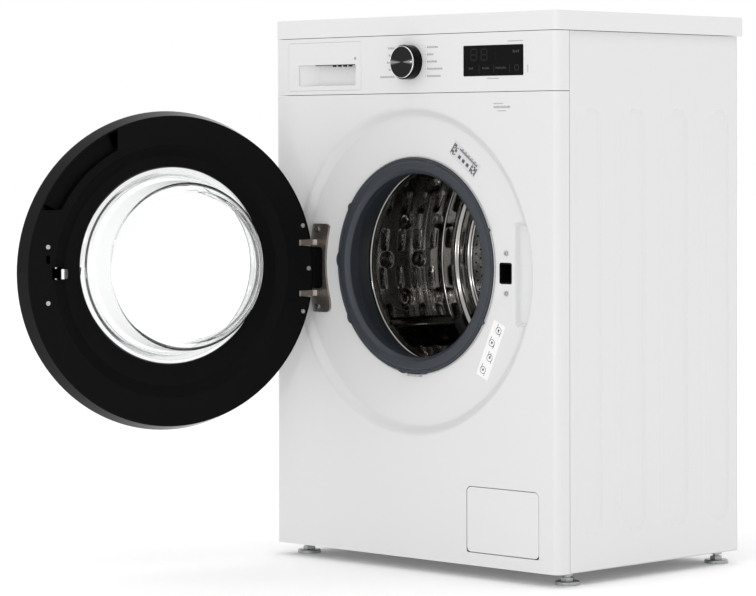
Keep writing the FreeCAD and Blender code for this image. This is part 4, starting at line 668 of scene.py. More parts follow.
def barrel_rise(settings, around, along, bosses, shells, span):
    """How far the sheet is pressed inwards at each point of one sector."""
    rise = np.zeros_like(around)
    for a, b in bosses:
        far = np.sqrt(((around - a) / 0.0175) ** 4 + ((along - b) / 0.0075) ** 4)
        rise = np.maximum(rise, settings.boss_height * np.clip(1.0 - far, 0.0, None) ** 0.8)
    for a, b in shells:
        for wrap in (-span, 0.0, span):
            da, db = around - a - wrap, along - b
            far = np.hypot(da / 0.013, db / 0.016)
            dome = np.clip(1.0 - far**2, 0.0, None) ** 0.8
            rise = np.maximum(rise, settings.shell_height * dome * np.clip(0.55 + db / 0.03, 0.0, 1.0))
    return rise


def drum_wall(settings):
    """The pressed barrel as a fine grid, with open holes in threes on raised bosses."""
    radius = (DRUM_HIGH.x - DRUM_LOW.x) / 2 - 0.0015
    y0 = DRUM_LOW.y + 0.02
    y1 = DRUM_HIGH.y - 0.003
    sectors, fine_a, fine_b = 12, 50, 100
    span = 2 * math.pi * radius / sectors
    a = np.linspace(0.0, span, fine_a + 1)
    b = np.linspace(0.0, y1 - y0, fine_b + 1)
    around, along = np.meshgrid(a, b, indexing="ij")
    bosses, shells = barrel_pattern(settings, span, y1 - y0)
    rise = barrel_rise(settings, around, along, bosses, shells, span)
    points, faces = [], []
    for sector in range(sectors):
        for i in range(fine_a):
            theta = (sector * span + a[i]) / radius
            for j in range(fine_b + 1):
                r = radius - rise[i, j]
                points.append((r * math.cos(theta), y0 + b[j], DRUM_AXIS.z + r * math.sin(theta)))
    open_cells = set()
    for x, y in bosses:
        for k in (-1, 0, 1):
            open_cells.add((int((x + k * settings.hole_pitch) / a[1]), int(y / b[1])))
    columns = sectors * fine_a
    for c in range(columns):
        n = (c + 1) % columns
        for j in range(fine_b):
            if (c % fine_a, j) not in open_cells:
                here, there = c * (fine_b + 1) + j, n * (fine_b + 1) + j
                faces.append((here, here + 1, there + 1, there))
    return mesh_of("drum_wall", points, faces)


def build_drum(settings):
    """Barrel with bosses and holes, rolled mouth, and the stepped rear wall, whose small holes are black discs of
    painted shade.
    """
    front = DRUM_LOW.y
    radius = (DRUM_HIGH.x - DRUM_LOW.x) / 2
    mouth = settings.mouth_radius
    nose = lathe("nose", [
        (mouth + 0.003, front + 0.02), (mouth, front + 0.016, 0.002), (mouth, front + 0.001, 0.004),
        (mouth + 0.016, front + 0.001, 0.007), (mouth + 0.026, front + 0.006, 0.006),
        (radius - 0.001, front + 0.006, 0.012), (radius - 0.0015, front + 0.021)], DRUM_AXIS, closed=False)
    mesh = merged([drum_wall(settings), nose], "drum_barrel")
    barrel = new_piece("drum_barrel", mesh, "stainless", "drum", smooth=60.0)
    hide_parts("drum_shell")
    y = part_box("drum_back")[0].y + 0.006
    rear = lathe("drum_rear", [
        (radius - 0.0015, y - 0.008), (radius - 0.006, y, 0.005), (radius - 0.026, y, 0.005),
        (radius - 0.034, y - 0.01, 0.008), (radius - 0.044, y - 0.001, 0.008),
        (radius - 0.056, y - 0.001, 0.006), (radius - 0.064, y - 0.011, 0.008),
        (radius - 0.073, y - 0.001, 0.006), (0.094, y - 0.001, 0.006),
        (0.082, y - 0.006, 0.006), (0.06, y - 0.006, 0.004), (0.05, y - 0.001, 0.004), (PINHOLE, y - 0.001)],
        DRUM_AXIS, closed=False)
    wall = new_piece("drum_rear_wall", rear, "stainless", "drum", smooth=60.0)
    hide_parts("drum_back")
    # The rear wall's small holes are painted shade: thin black discs lying on the wall, not openings.
    holes = []
    for k, r in enumerate((0.104, 0.115, 0.126, 0.137, 0.148, 0.158)):
        count = int(2 * math.pi * r / 0.0145)
        for i in range(count):
            a = 2 * math.pi * (i + 0.5 * (k % 2)) / count
            x, z = r * math.cos(a), DRUM_AXIS.z + r * math.sin(a)
            holes.append(disc(x, z, 0.0017, y - 0.0014, y - 0.0008, 10))
    new_piece("drum_rear_holes", merged(holes, "drum_rear_holes"), "black_matte", "drum")


# ---------------------------------------------------------------- door window

def build_window(settings):
    """Outer cover with its clear middle, and the polished band round the window."""
    low, high = closed_box("door_outer_cover")
    rim = (high.x - low.x) / 2
    clear = settings.window_radius
    y0, y1 = low.y, high.y
    thick = 0.0025
    sheet = [(PINHOLE, y0), (clear, y0), (rim - 0.016, y0 + 0.0004, 0.012), (rim, y1 - 0.003, 0.002),
             (rim, y1), (rim - thick, y1), (rim - thick, y1 - 0.002), (rim - 0.018, y0 + 0.003, 0.012),
             (clear, y0 + thick), (PINHOLE, y0 + thick)]
    mesh = lathe("door_cover", sheet, DOOR_AXIS, closed=False)
    cover = new_piece("door_cover", mesh, "tinted_cover", "door")
    mesh.materials.append(finish_of("clear_cover"))
    for face in mesh.polygons:
        centre = face.center
        face.material_index = int(math.hypot(centre.x, centre.z - DOOR_AXIS.z) < clear - 0.002)
    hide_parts("door_outer_cover")
    ring_low, ring_high = closed_box("window_ring")
    centre = Vector((0.0, 0.0, (ring_low.z + ring_high.z) / 2))
    outer = (ring_high.x - ring_low.x) / 2
    front, back = ring_high.y, ring_low.y
    profile = [
        (outer - settings.band_width, back), (outer - settings.band_width, front - 0.009),
        (outer - 0.0135, front - 0.0025, 0.002), (outer - 0.008, front, 0.003),
        (outer - 0.0035, front - 0.0005, 0.002), (outer, front - 0.005, 0.003),
        (outer, front - 0.012), (outer - 0.0105, front - 0.013), (outer - 0.0115, back)]
    mesh = lathe("window_band", profile, centre, 256)
    band = new_piece("window_band", mesh, "chrome", "door", smooth=50.0)
    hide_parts("window_ring")


# ---------------------------------------------------------------- knob

def build_knob(settings):
    """Turned knob with a bright front edge, a brushed face with a painted highlight, and a small pointer."""
    low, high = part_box("program_knob")
    centre = Vector(((low.x + high.x) / 2, 0.0, (low.z + high.z) / 2))
    r = (high.x - low.x) / 2
    y = min(low.y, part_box("knob_ring")[0].y)
    lip = settings.bezel_width
    root = CONSOLE_Y - 0.0003
    body = lathe("knob_body", [
        (PINHOLE, y + 0.001), (r - lip, y + 0.001), (r - lip, y + 0.0022), (r - 0.001, y + 0.0022, 0.0005),
        (r, y + 0.004, 0.001), (r, root), (r - 0.003, root), (r - 0.003, y + 0.006), (PINHOLE, y + 0.006)],
        centre, 128)
    knob = new_piece("knob_body", body, "black_gloss", "knob")
    mesh = knob.data
    # The flat face gets the finish with the painted highlight.
    mesh.materials.append(finish_of("brushed_black"))
    for face in mesh.polygons:
        near = math.hypot(face.center.x - centre.x, face.center.z - centre.z) < r - lip
        face.material_index = int(near and face.center.y < y + 0.0012)
    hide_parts("program_knob")
    edge = lathe("knob_edge", [
        (r - lip, y + 0.0023), (r - 0.0027, y + 0.0003, 0.0004), (r - 0.0019, y + 0.0003, 0.0004),
        (r - 0.0016, y + 0.0023)], centre, 128)
    bezel = new_piece("knob_bezel", edge, "chrome", "knob")
    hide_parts("knob_ring")
    mark = bar(centre.x + r - 0.0075, centre.x + r - 0.003, centre.z - 0.0009, centre.z + 0.0009,
               y - 0.0002, y + 0.0012)
    new_piece("knob_pointer", mark, "chrome", "knob")


# ---------------------------------------------------------------- printing

def word(x0, x1, z, height, low, high, letter=0.0016):
    """A made-up word: a row of small upright blocks of uneven height, from x0 to x1."""
    blocks = []
    x, k = x0, 0
    while x + letter * 0.7 < x1:
        tall = height * (1.0 if k % 3 else 1.3)
        blocks.append(bar(x, x + letter * 0.62, z - height / 2, z - height / 2 + tall, low, high))
        x += letter
        k += 1
    return blocks


def segments_digit(x, z, width, height, thick, low, high):
    """A digit with all seven segments."""
    blocks = []
    for level in (0.0, 0.5, 1.0):
        middle_z = z + level * (height - thick)
        blocks.append(bar(x + thick, x + width - thick, middle_z, middle_z + thick, low, high))
    for side in (x, x + width - thick):
        for level in (0, 1):
            base = z + thick * 0.7 + level * (height - thick) / 2
            top = base + (height - thick) / 2 - thick * 0.4
            blocks.append(bar(side, side + thick, base, top, low, high))
    return blocks


def build_printing(settings):
    """Plain marks in place of the words round the dial, display and drawer."""
    knob = middle("program_knob")
    low, high = CONSOLE_Y - INK, CONSOLE_Y + BEDDED
    marks = []
    gap, reach = settings.mark_gap, settings.mark_radius
    right_words = (0.023, 0.014, 0.022, 0.032, 0.029)
    left_words = (0.014, 0.013, 0.017, 0.013, 0.031)
    for row in range(5):
        z = knob.z + (2 - row) * gap
        marks.append(disc(reach, z, 0.0007, low, high, 12))
        marks.append(disc(-reach + 0.003, z, 0.0007, low, high, 12))
        marks += word(reach + 0.004, reach + 0.004 + right_words[row], z, 0.0026, low, high, 0.0019)
        marks += word(-reach - left_words[row], -reach, z, 0.0026, low, high, 0.0019)
    screen_low, screen_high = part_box("display_window")
    left, right = screen_low.x + 0.003, screen_high.x - 0.003
    bottom, top = screen_low.z + 0.003, screen_high.z - 0.003
    marks += word(right - 0.031, right, top + 0.005, 0.0013, low, high)
    marks += word((left + right) / 2 - 0.012, (left + right) / 2 + 0.012, bottom - 0.004, 0.0013, low, high)
    for k in range(5):
        z = bottom + 0.004 + 0.0024 * k
        marks.append(bar(right + 0.008, right + 0.0095, z, z + 0.0015, low, high))
    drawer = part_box("drawer_front")
    marks += [disc(drawer[1].x - 0.013, drawer[1].z - 0.026, 0.0022, low, high, 16)]
    new_piece("console_marks", merged(marks, "console_marks"), "print_grey", "cabinet")
    face = screen_low.y
    low, high = face - INK, face + BEDDED
    glow, digits = [], []
    for x in (left + 0.014, left + 0.035):
        digits += segments_digit(x, top - 0.0235, 0.0145, 0.019, 0.0026, low, high)
    digits += [disc(left + 0.066, top - down, 0.0009, low, high, 12) for down in (0.0195, 0.0135)]
    glow += word(right - 0.021, right - 0.006, top - 0.0105, 0.0035, low, high, 0.0034)
    for x in (0.032, 0.062, 0.094):
        glow.append(bar(left + x, left + x + 0.0005, bottom + 0.0045, bottom + 0.0165, low, high))
    for x0, x1 in ((0.011, 0.021), (0.039, 0.053), (0.066, 0.088)):
        glow += word(left + x0, left + x1, bottom + 0.0115, 0.0026, low, high, 0.0024)
    glow.append(ring(right - 0.0135, bottom + 0.0115, 0.0045, 0.0039, low, high))
    new_piece("screen_marks", merged(glow, "screen_marks"), "screen_glow", "cabinet")
    new_piece("screen_digits", merged(digits, "screen_digits"), "screen_dim", "cabinet")


def turned_box(centre, angle, x0, x1, z0, z1, low, high):
    """A thin block drawn level about a centre and turned in the plane of the front."""
    c, s = math.cos(angle), math.sin(angle)
    corners = [(x0, z0), (x1, z0), (x1, z1), (x0, z1)]
    return slab([(centre[0] + c * x - s * z, centre[1] + s * x + c * z) for x, z in corners], low, high)


def code_block(centre, angle, x, z, cell, size, low, high):
    """An unreadable code: small squares in a scattered but fixed pattern."""
    columns, rows = size
    filled = 0.92 * cell
    blocks = []
    for i in range(columns):
        for j in range(rows):
            if (i * i * 3 + j * 5 + i * j * 7) % 5 < 3:
                x0, z0 = x + cell * i, z + cell * j
                blocks.append(turned_box(centre, angle, x0, x0 + filled, z0, z0 + filled, low, high))
    return blocks


NOTICE_PLACE = (0.104, 0.6306)
NOTICE_TURN = -37.4
STRIP_PLACE = (0.157, 0.344)
STRIP_TURN = 66.0


def build_stickers(settings):
    """A grey notice and a strip of plain signs in the dish, and small marks below the console."""
    y = FRONT_Y + settings.dish_depth
    low, high = y - 0.00015, y + 0.0004
    at, turn = NOTICE_PLACE, math.radians(NOTICE_TURN)
    card = turned_box(at, turn, -0.0325, 0.0325, -0.0122, 0.0122, low, high)
    new_piece("notice", card, "label_grey", "cabinet")
    low -= INK
    pitch = 0.0026
    ink = [turned_box(at, turn, -0.0165 + pitch * k, -0.0148 + pitch * k, 0.0045, 0.0078 + 0.0012 * (k % 3),
                      low, high) for k in range(17)]
    ink += code_block(at, turn, -0.0305, -0.0095, 0.0022, (5, 8), low, high)
    ink += code_block(at, turn, 0.0175, -0.0095, 0.0022, (6, 6), low, high)
    ink += [turned_box(at, turn, x, x + 0.0055, -0.007, -0.0015, low, high)
            for x in (-0.013, -0.003, 0.007)]
    new_piece("notice_print", merged(ink, "notice_print"), "print_black", "cabinet")
    at, turn = STRIP_PLACE, math.radians(STRIP_TURN)
    low += INK
    strip = turned_box(at, turn, -0.045, 0.045, -0.0125, 0.0125, low, high)
    new_piece("sign_strip", strip, "label_white", "cabinet")
    low -= INK
    signs = []
    c, t = math.cos(turn), math.sin(turn)
    for k in range(4):
        x, z = -0.034 + 0.0225 * k, 0.0025 * (-1) ** k
        signs.append(ring(at[0] + c * x - t * z, at[1] + t * x + c * z, 0.0058, 0.005, low, high))
        signs.append(turned_box(at, turn, x - 0.0075, x - 0.0025, z - 0.0052, z - 0.0044, low, high))
        signs.append(turned_box(at, turn, x + 0.0015, x + 0.0095, z + 0.0038, z + 0.0047, low, high))
        signs.append(turned_box(at, turn, x - 0.0012, x + 0.0022, z - 0.0016, z + 0.0016, low, high))
    new_piece("sign_print", merged(signs, "sign_print"), "print_black", "cabinet")
    reds = [turned_box(at, turn, x, x + 0.0065, -0.0035, -0.0023, low, high)
            for x in (-0.01, 0.006, 0.0285)]
    new_piece("sign_arrows", merged(reds, "sign_arrows"), "print_red", "cabinet")
    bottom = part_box("control_panel")[0].z
    low, high = FRONT_Y - INK, FRONT_Y + BEDDED
    small = word(0.174, 0.194, bottom - 0.018, 0.0014, low, high)
    small += word(0.174, 0.209, bottom - 0.0235, 0.0028, low, high, 0.0024)
    small += word(0.182, 0.2, bottom - 0.029, 0.0012, low, high)
    new_piece("panel_print", merged(small, "panel_print"), "print_grey", "cabinet")


# ---------------------------------------------------------------- pressed sheets

def ease(value):
    """0 to 1, smooth at both ends."""
    value = np.clip(value, 0.0, 1.0)
    return value * value * (3.0 - 2.0 * value)


def thicken(skin):
    """Give a skin the thickness of its sheet, inwards."""
    thick = skin.modifiers.new("sheet", "SOLIDIFY")
    thick.thickness = SHEET
    thick.offset = -1.0


def cut_out(obj, blocks):
    """Cut closed blocks out of a piece and keep the result as its mesh."""
    tools = bpy.data.objects.new("cutters", merged(blocks, "cutters"))
    bpy.context.scene.collection.objects.link(tools)
    cut = obj.modifiers.new("cut", "BOOLEAN")
    cut.operation = "DIFFERENCE"
    cut.solver = "EXACT"
    cut.use_self = True
    cut.object = tools
    ready = obj.evaluated_get(bpy.context.evaluated_depsgraph_get())
    mesh = bpy.data.meshes.new_from_object(ready)
    obj.modifiers.clear()
    obj.data = mesh
    bpy.data.objects.remove(tools)


def dish_depth(settings, x, z):
    """Depth of the pressed dish, with the deeper finger scoop at its free side."""
    edge = settings.dish_radius
    far = np.hypot(x, z - DOOR_AXIS.z)
    along = ease((0.078 - np.abs(z - DOOR_AXIS.z)) / 0.006)
    scoop = settings.scoop_depth * ease((x - settings.scoop_start) / 0.007) * along
    return (settings.dish_depth + scoop) * ease((edge - far) / settings.dish_slope)


def front_sheet(settings):
    """The front skin as rings of points from the porthole out to the sheet's edge."""
    low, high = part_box("front_panel")
    left, right = low.x + settings.corner, high.x - settings.corner
    bottom, top = low.z, high.z
    centre_z, port_z = DOOR_AXIS.z, DRUM_AXIS.z
    angles = set(2 * math.pi * k / 480 for k in range(480))
    for x, z in ((left, bottom), (right, bottom), (left, top), (right, top)):
        angles.add(math.atan2(z - centre_z, x) % (2 * math.pi))
    angles = sorted(angles)
    lift = port_z - centre_z
    points, count = [], 0
    for a in angles:
        c, s = math.cos(a), math.sin(a)
        start = lift * s + math.sqrt(settings.port_radius**2 - (lift * c) ** 2)
        reach = min((right if c > 0 else left) / c if abs(c) > 1e-9 else 9.0,
                    ((top if s > 0 else bottom) - centre_z) / s if abs(s) > 1e-9 else 9.0)
        inner, outer = settings.dish_radius - 0.062, settings.dish_radius + 0.002
        stops = [start + (inner - start) * k / 6 for k in range(6)]
        stops += [inner + (outer - inner) * k / 40 for k in range(40)]
        stops += [outer + (reach - outer) * k / 8 for k in range(9)]
        count = len(stops)
        for r in stops:
            points.append((r * c, 0.0, centre_z + r * s))
    grid = np.array(points)
    grid[:, 1] = FRONT_Y + dish_depth(settings, grid[:, 0], grid[:, 2])
    faces = []
    for k in range(len(angles)):
        n = (k + 1) % len(angles)
        for i in range(count - 1):
            faces.append((k * count + i, n * count + i, n * count + i + 1, k * count + i + 1))
    return mesh_of("front_sheet", grid, faces)


def folded_edge(profile, z0, z1):
    """A strip bent along (x, y) points, running from z0 to z1."""
    n = len(profile)
    points = [(x, y, z0) for x, y in profile] + [(x, y, z1) for x, y in profile]
    return mesh_of("fold", points, [(i, i + 1, i + 1 + n, i + n) for i in range(n - 1)])


def rounded_block(low_x, high_x, low_z, high_z, radius, low, high):
    corners = []
    for k, (x, z) in enumerate(((high_x, high_z), (low_x, high_z), (low_x, low_z), (high_x, low_z))):
        cx = x + (-radius if k in (0, 3) else radius)
        cz = z + (-radius if k in (0, 1) else radius)
        for step in range(7):
            a = math.pi / 2 * (k + step / 6)
            corners.append((cx + radius * math.cos(a), cz + radius * math.sin(a)))
    return slab(corners, low, high)


def build_front(settings):
    """Front skin with its dish, scoop, wrapped corners and openings, its folds and its collar."""
    low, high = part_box("front_panel")
    corner = settings.corner
    folds = []
    for side in (-1, 1):
        edge = side * (high.x - corner)
        arc = [(edge + side * corner * math.sin(a), FRONT_Y + corner - corner * math.cos(a))
               for a in (math.pi / 2 * k / 8 for k in range(9))]
        folds.append(folded_edge(arc + [(side * high.x, FRONT_Y + settings.front_wrap)], low.z, high.z))
    mesh = merged([front_sheet(settings)] + folds, "front_skin")
    skin = new_piece("front_skin", mesh, "white_enamel", "cabinet", 40.0)
    bm = bmesh.new()
    bm.from_mesh(skin.data)
    bmesh.ops.recalc_face_normals(bm, faces=bm.faces)
    bm.to_mesh(skin.data)
    bm.free()
    thicken(skin)
    flap, lock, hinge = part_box("pump_flap"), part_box("door_lock"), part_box("hinge_bracket")
    near, far = FRONT_Y - 0.005, FRONT_Y + 0.03
    gap = 0.001
    left, right = flap[0].x - gap, flap[1].x + gap
    openings = (
        (left, right, flap[0].z - gap, flap[1].z + gap, 0.009),
        (left, right, flap[0].z - gap, flap[0].z + 0.03, 0.003),
        (lock[0].x + 0.0047, lock[1].x - 0.0047, settings.lock_z - 0.016, settings.lock_z + 0.016, 0.003),
        (hinge[0].x - 0.0015, hinge[0].x + 0.0275, hinge[0].z + 0.0254, hinge[1].z - 0.0254, 0.006),
    )
    cut_out(skin, [rounded_block(*opening, near, far) for opening in openings])
    skin.data.shade_smooth()
    skin.data.set_sharp_from_angle(angle=math.radians(40.0))
    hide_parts("front_panel")
    half, depth = 0.288, 0.018
    edges = [bar(-half, half, high.z - SHEET, high.z, FRONT_Y + SHEET, FRONT_Y + depth),
             bar(-half, half, low.z, low.z + SHEET, FRONT_Y + SHEET, FRONT_Y + depth)]
    new_piece("front_folds", merged(edges, "front_folds"), "white_enamel", "cabinet")
    port, seat = settings.port_radius, FRONT_Y + settings.dish_depth - BEDDED
    profile = [(port, seat), (port, FRONT_Y + 0.02), (port + SHEET, FRONT_Y + 0.02), (port + SHEET, seat)]
    collar = lathe("porthole_collar", profile, DRUM_AXIS)
    new_piece("porthole_collar", collar, "white_enamel", "cabinet")


def rib_depth(settings, y, z, low, high):
    """Depth of the four soft ribs pressed into a side."""
    depth = np.zeros_like(y)
    corner = 0.024
    for k in range(4):
        rear = FRONT_Y + settings.rib_first + k * settings.rib_pitch
        centre_y, half_y = rear - settings.rib_width / 2, settings.rib_width / 2
        centre_z, half_z = (low + high) / 2, (high - low) / 2
        out_y = np.abs(y - centre_y) - half_y + corner
        out_z = np.abs(z - centre_z) - half_z + corner
        outside = np.hypot(np.maximum(out_y, 0), np.maximum(out_z, 0))
        away = outside + np.minimum(np.maximum(out_y, out_z), 0) - corner
        softness = np.where(y < centre_y, 0.012, 0.003)
        depth = np.maximum(depth, settings.rib_depth * ease(-away / softness))
    return depth


def build_sides(settings):
    """Both side skins with soft pressed ribs and folded rear and top edges."""
    for name, side in (("left", -1), ("right", 1)):
        low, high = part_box(name + "_side_panel")
        face = high.x if side > 0 else low.x
        y0, y1 = FRONT_Y + settings.front_wrap + 0.0009, high.y
        ys = np.linspace(y0, y1, 190)
        zs = np.concatenate([np.linspace(low.z, 0.11, 34), np.linspace(0.11, 0.66, 20)[1:],
                             np.linspace(0.66, 0.715, 26)[1:], np.linspace(0.715, high.z, 6)[1:]])
        y, z = np.meshgrid(ys, zs, indexing="ij")
        x = face - side * rib_depth(settings, y, z, settings.rib_bottom, settings.rib_top)
        points = np.stack([x.ravel(), y.ravel(), z.ravel()], 1)
        rows = len(zs)
        faces = [(i * rows + j, (i + 1) * rows + j, (i + 1) * rows + j + 1, i * rows + j + 1)
                 for i in range(len(ys) - 1) for j in range(rows - 1)]
        if side < 0:
            faces = [tuple(reversed(f)) for f in faces]
        mesh = mesh_of(name + "_skin", points, faces)
        skin = new_piece(name + "_skin", mesh, "white_enamel", "cabinet", 50.0)
        thicken(skin)
        inner = face - side * SHEET
        left, right = sorted((inner, inner - side * 0.02))
        blocks = [bar(left, right, low.z, high.z, y1 - SHEET, y1),
                  bar(left, right, high.z - SHEET, high.z, y0, y1 - 0.001)]
        new_piece(name + "_folds", merged(blocks, name + "_folds"), "white_enamel", "cabinet")
        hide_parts(name + "_side_panel")


# ---------------------------------------------------------------- door boot and drawer pull

def build_gasket(settings):
    """Rubber boot: front lip with an outer bead, sealing lip, fold, inner skirt and moulded lugs."""
    low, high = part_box("gasket")
    outer = (high.x - low.x) / 2
    front = low.y
    port = settings.port_radius
    seat = FRONT_Y + settings.dish_depth - BEDDED
    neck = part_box("tub_front")[0].y
    inner = port - 0.009
    boot = lathe("gasket_boot", [
        (outer, seat), (outer, seat - 0.0045, 0.0015), (outer - 0.002, front + 0.0012, 0.002),
        (outer - 0.0042, front + 0.0028, 0.001), (outer - 0.006, front + 0.0002, 0.003),
        (port - 0.003, front, 0.004), (inner, front + 0.0062, 0.004),
        (inner, front + 0.0195, 0.003), (port - 0.0052, front + 0.026, 0.003),
        (port - 0.0035, neck - 0.004, 0.003), (port + 0.0005, neck + 0.0155, 0.002),
        (port + 0.0016, neck + 0.0155, 0.0004), (port - 0.0012, neck - 0.004, 0.003),
        (port - 0.002, front + 0.029, 0.003), (port - 0.0004, front + 0.0195, 0.001),
        (port - 0.0004, seat)], DRUM_AXIS, 256)
    lugs = []
    places = ((178.0, 5.0), (147.0, 3.0), (212.0, 4.0), (262.0, 5.0), (278.0, 4.0), (20.0, 3.0),
              (330.0, 3.0))
    for angle, wide in places:
        points = []
        for k in range(9):
            a = math.radians(angle - wide + 2 * wide * k / 8)
            r = outer - 0.004 + 0.0065 * math.sin(math.pi * k / 8) ** 0.7
            points.append((r * math.cos(a), DRUM_AXIS.z + r * math.sin(a)))
        lugs.append(slab(points[::-1], front + 0.0015, seat - 0.0005))
    made = new_piece("gasket_boot", merged([boot] + lugs, "gasket_boot"), "grey_rubber", "cabinet", 60.0)
    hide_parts("gasket")


def build_pull():
    """Painted shade in the drawer's pull: a dark strip in the shadow under its lip, and dark blocks in its four
    vents.
    """
    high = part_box("drawer_front")[1]
    left, right = high.x - 0.1025, high.x - 0.0125
    top = high.z - 0.0352
    y = CONSOLE_Y
    # Painted shade: a dark strip in the shadow gap under the lip, then dark blocks in the four vents.
    lip = [bar(left, right, top - 0.0008, top + 0.0002, y + 0.0006, y + 0.003)]
    for k in range(4):
        x = right - 0.051 + 0.0118 * k
        lip.append(bar(x, x + 0.0062, top - 0.0032, top - 0.0006, y + 0.0006, y + 0.003))
    new_piece("pull_lip", merged(lip, "pull_lip"), "deep_shadow", "drawer")


# ---------------------------------------------------------------- coils

def wire_mesh(points, radius):
    """A round wire through the given points."""
    curve = bpy.data.curves.new("wire", "CURVE")
    curve.dimensions = "3D"
    curve.bevel_depth = radius
    curve.bevel_resolution = 3
    curve.use_fill_caps = True
    spline = curve.splines.new("POLY")
    spline.points.add(len(points) - 1)
    for place, point in zip(spline.points, points):
        place.co = (*point, 1.0)
    wire = bpy.data.objects.new("wire", curve)
    bpy.context.scene.collection.objects.link(wire)
    ready = wire.evaluated_get(bpy.context.evaluated_depsgraph_get())
    mesh = bpy.data.meshes.new_from_object(ready)
    bpy.data.objects.remove(wire)
    return mesh


def build_springs(settings):
    """Wound suspension springs with their ends in the middle, between the tub and the cabinet."""
    low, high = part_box("suspension_springs")
    wire, steps = settings.wire_radius, 16
    radius = (high.y - low.y) / 2 - wire
    y = (low.y + high.y) / 2
    rise = high.z - low.z - 2 * wire - 0.012
    total = settings.spring_turns * steps
    coils = []
    for x in (low.x + radius + wire, high.x - radius - wire):
        points = [(x, y, low.z + wire)]
        for k in range(total + 1):
            a = 2 * math.pi * k / steps
            z = low.z + wire + 0.006 + rise * k / total
            points.append((x + radius * math.cos(a), y + radius * math.sin(a), z))
        points.append((x, y, high.z - wire))
        coils.append(wire_mesh(points, wire))
    springs = loose_piece("springs", merged(coils, "springs"), "steel", smooth=0.0)
    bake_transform(springs)
    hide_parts("suspension_springs")


def ringed_hose(node, finish):
    """The node's hose with moulded rings, cut fine enough to bend, and its two corners."""
    low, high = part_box(node)
    bm = bmesh.new()
    bm.from_mesh(NODES[node].data)
    bmesh.ops.remove_doubles(bm, verts=bm.verts, dist=0.00001)
    step, ends, rise = 0.002, 0.012, 0.0012
    level = low.z + ends
    while level < high.z - ends:
        parts = bm.verts[:] + bm.edges[:] + bm.faces[:]
        bmesh.ops.bisect_plane(bm, geom=parts, plane_co=(0.0, 0.0, level), plane_no=(0.0, 0.0, 1.0))
        level += step
    bm.normal_update()
    shifts = []
    for vert in bm.verts:
        inside = ease(np.array(min(vert.co.z - low.z, high.z - vert.co.z) / ends - 1.0))
        wave = math.sin(math.pi * (vert.co.z - low.z - ends) / (2 * step))
        shifts.append(vert.normal * float(inside) * rise * max(wave, -0.6))
    for vert, shift in zip(bm.verts, shifts):
        vert.co += shift
    mesh = bpy.data.meshes.new(node + "_rings")
    bm.to_mesh(mesh)
    bm.free()
    hose = loose_piece(node + "_rings", mesh, finish, smooth=40.0)
    return hose, low, high


def build_hoses():
    """The two rubber hoses of the tub."""
    hose, low, high = ringed_hose("tub_fill_hose", "dark_rubber")
    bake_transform(hose)
    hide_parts("tub_fill_hose")
    hose, low, high = ringed_hose("sump_hose", "dark_rubber")
    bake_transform(hose)
    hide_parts("sump_hose")


# ---------------------------------------------------------------- settings

def length(name, description, default):
    """A size that a user may change."""
    return FloatProperty(name=name, description=description, default=default, min=0.0, precision=4,
                         subtype="DISTANCE", unit="LENGTH")


def colour(name, description, default):
    """A colour that a user may change."""
    return FloatVectorProperty(name=name, description=description, default=default, size=3, min=0.0,
                               max=1.0, precision=4, subtype="COLOR")


class FinishSettings(bpy.types.PropertyGroup):
    """Colours of the main materials."""

    enamel_colour: colour("Enamel", "Painted sheet of the cabinet", (0.71, 0.71, 0.713))
    top_colour: colour("Worktop", "Laminate of the worktop", (0.73, 0.73, 0.733))
    plastic_colour: colour("Plastic", "White mouldings of the console and drawer", (0.72, 0.72, 0.72))
    cover_colour: colour("Door cover", "Dark tinted band of the door's cover", (0.003, 0.0045, 0.0045))
    rubber_colour: colour("Door boot", "Rubber boot between the porthole and the tub",
                          (0.026, 0.033, 0.042))


class StageSettings(bpy.types.PropertyGroup):
    """Camera and light."""

    lens: FloatProperty(name="Lens", description="Focal length of the camera", default=153.05, min=10.0,
                        subtype="DISTANCE_CAMERA", unit="CAMERA")
    surround: FloatProperty(name="Surround", description="Brightness of the white surround", default=1.0,
                            min=0.0)
    top_light: FloatProperty(name="Top light", description="Strength of the soft light from above",
                             default=0.3, min=0.0)
    glint_power: FloatProperty(name="Glint light", description="Power of the small lights in front",
                               default=5.0, min=0.0, unit="POWER")
    floor_tone: FloatProperty(name="Floor", description="Brightness of the white floor", default=0.94,
                              min=0.02, max=0.98, subtype="FACTOR")


class DrumSettings(bpy.types.PropertyGroup):
    """Pressed pattern of the drum."""

    mouth_radius: length("Mouth radius", "Radius of the rolled mouth of the drum", 0.152)
    boss_pitch: length("Boss pitch", "Distance between bosses along the drum", 0.036)
    boss_height: length("Boss height", "Rise of the small bosses that carry the holes", 0.0026)
    shell_height: length("Shell height", "Rise of the large shells", 0.005)
    hole_pitch: length("Hole pitch", "Distance between the holes on one boss", 0.0085)


class WindowSettings(bpy.types.PropertyGroup):
    """Door cover and window."""

    window_radius: length("Clear radius", "Radius of the clear middle of the cover", 0.15)
    band_width: length("Band width", "Width of the polished band round the window", 0.0155)


class ConsoleSettings(bpy.types.PropertyGroup):
    """Knob and printing."""

    bezel_width: length("Bezel width", "From the knob's rim to the inside of its bright edge", 0.0028)
    mark_radius: length("Mark radius", "Distance from the knob's middle to its marks", 0.0325)
    mark_gap: length("Mark gap", "Height from one row of marks to the next", 0.011)


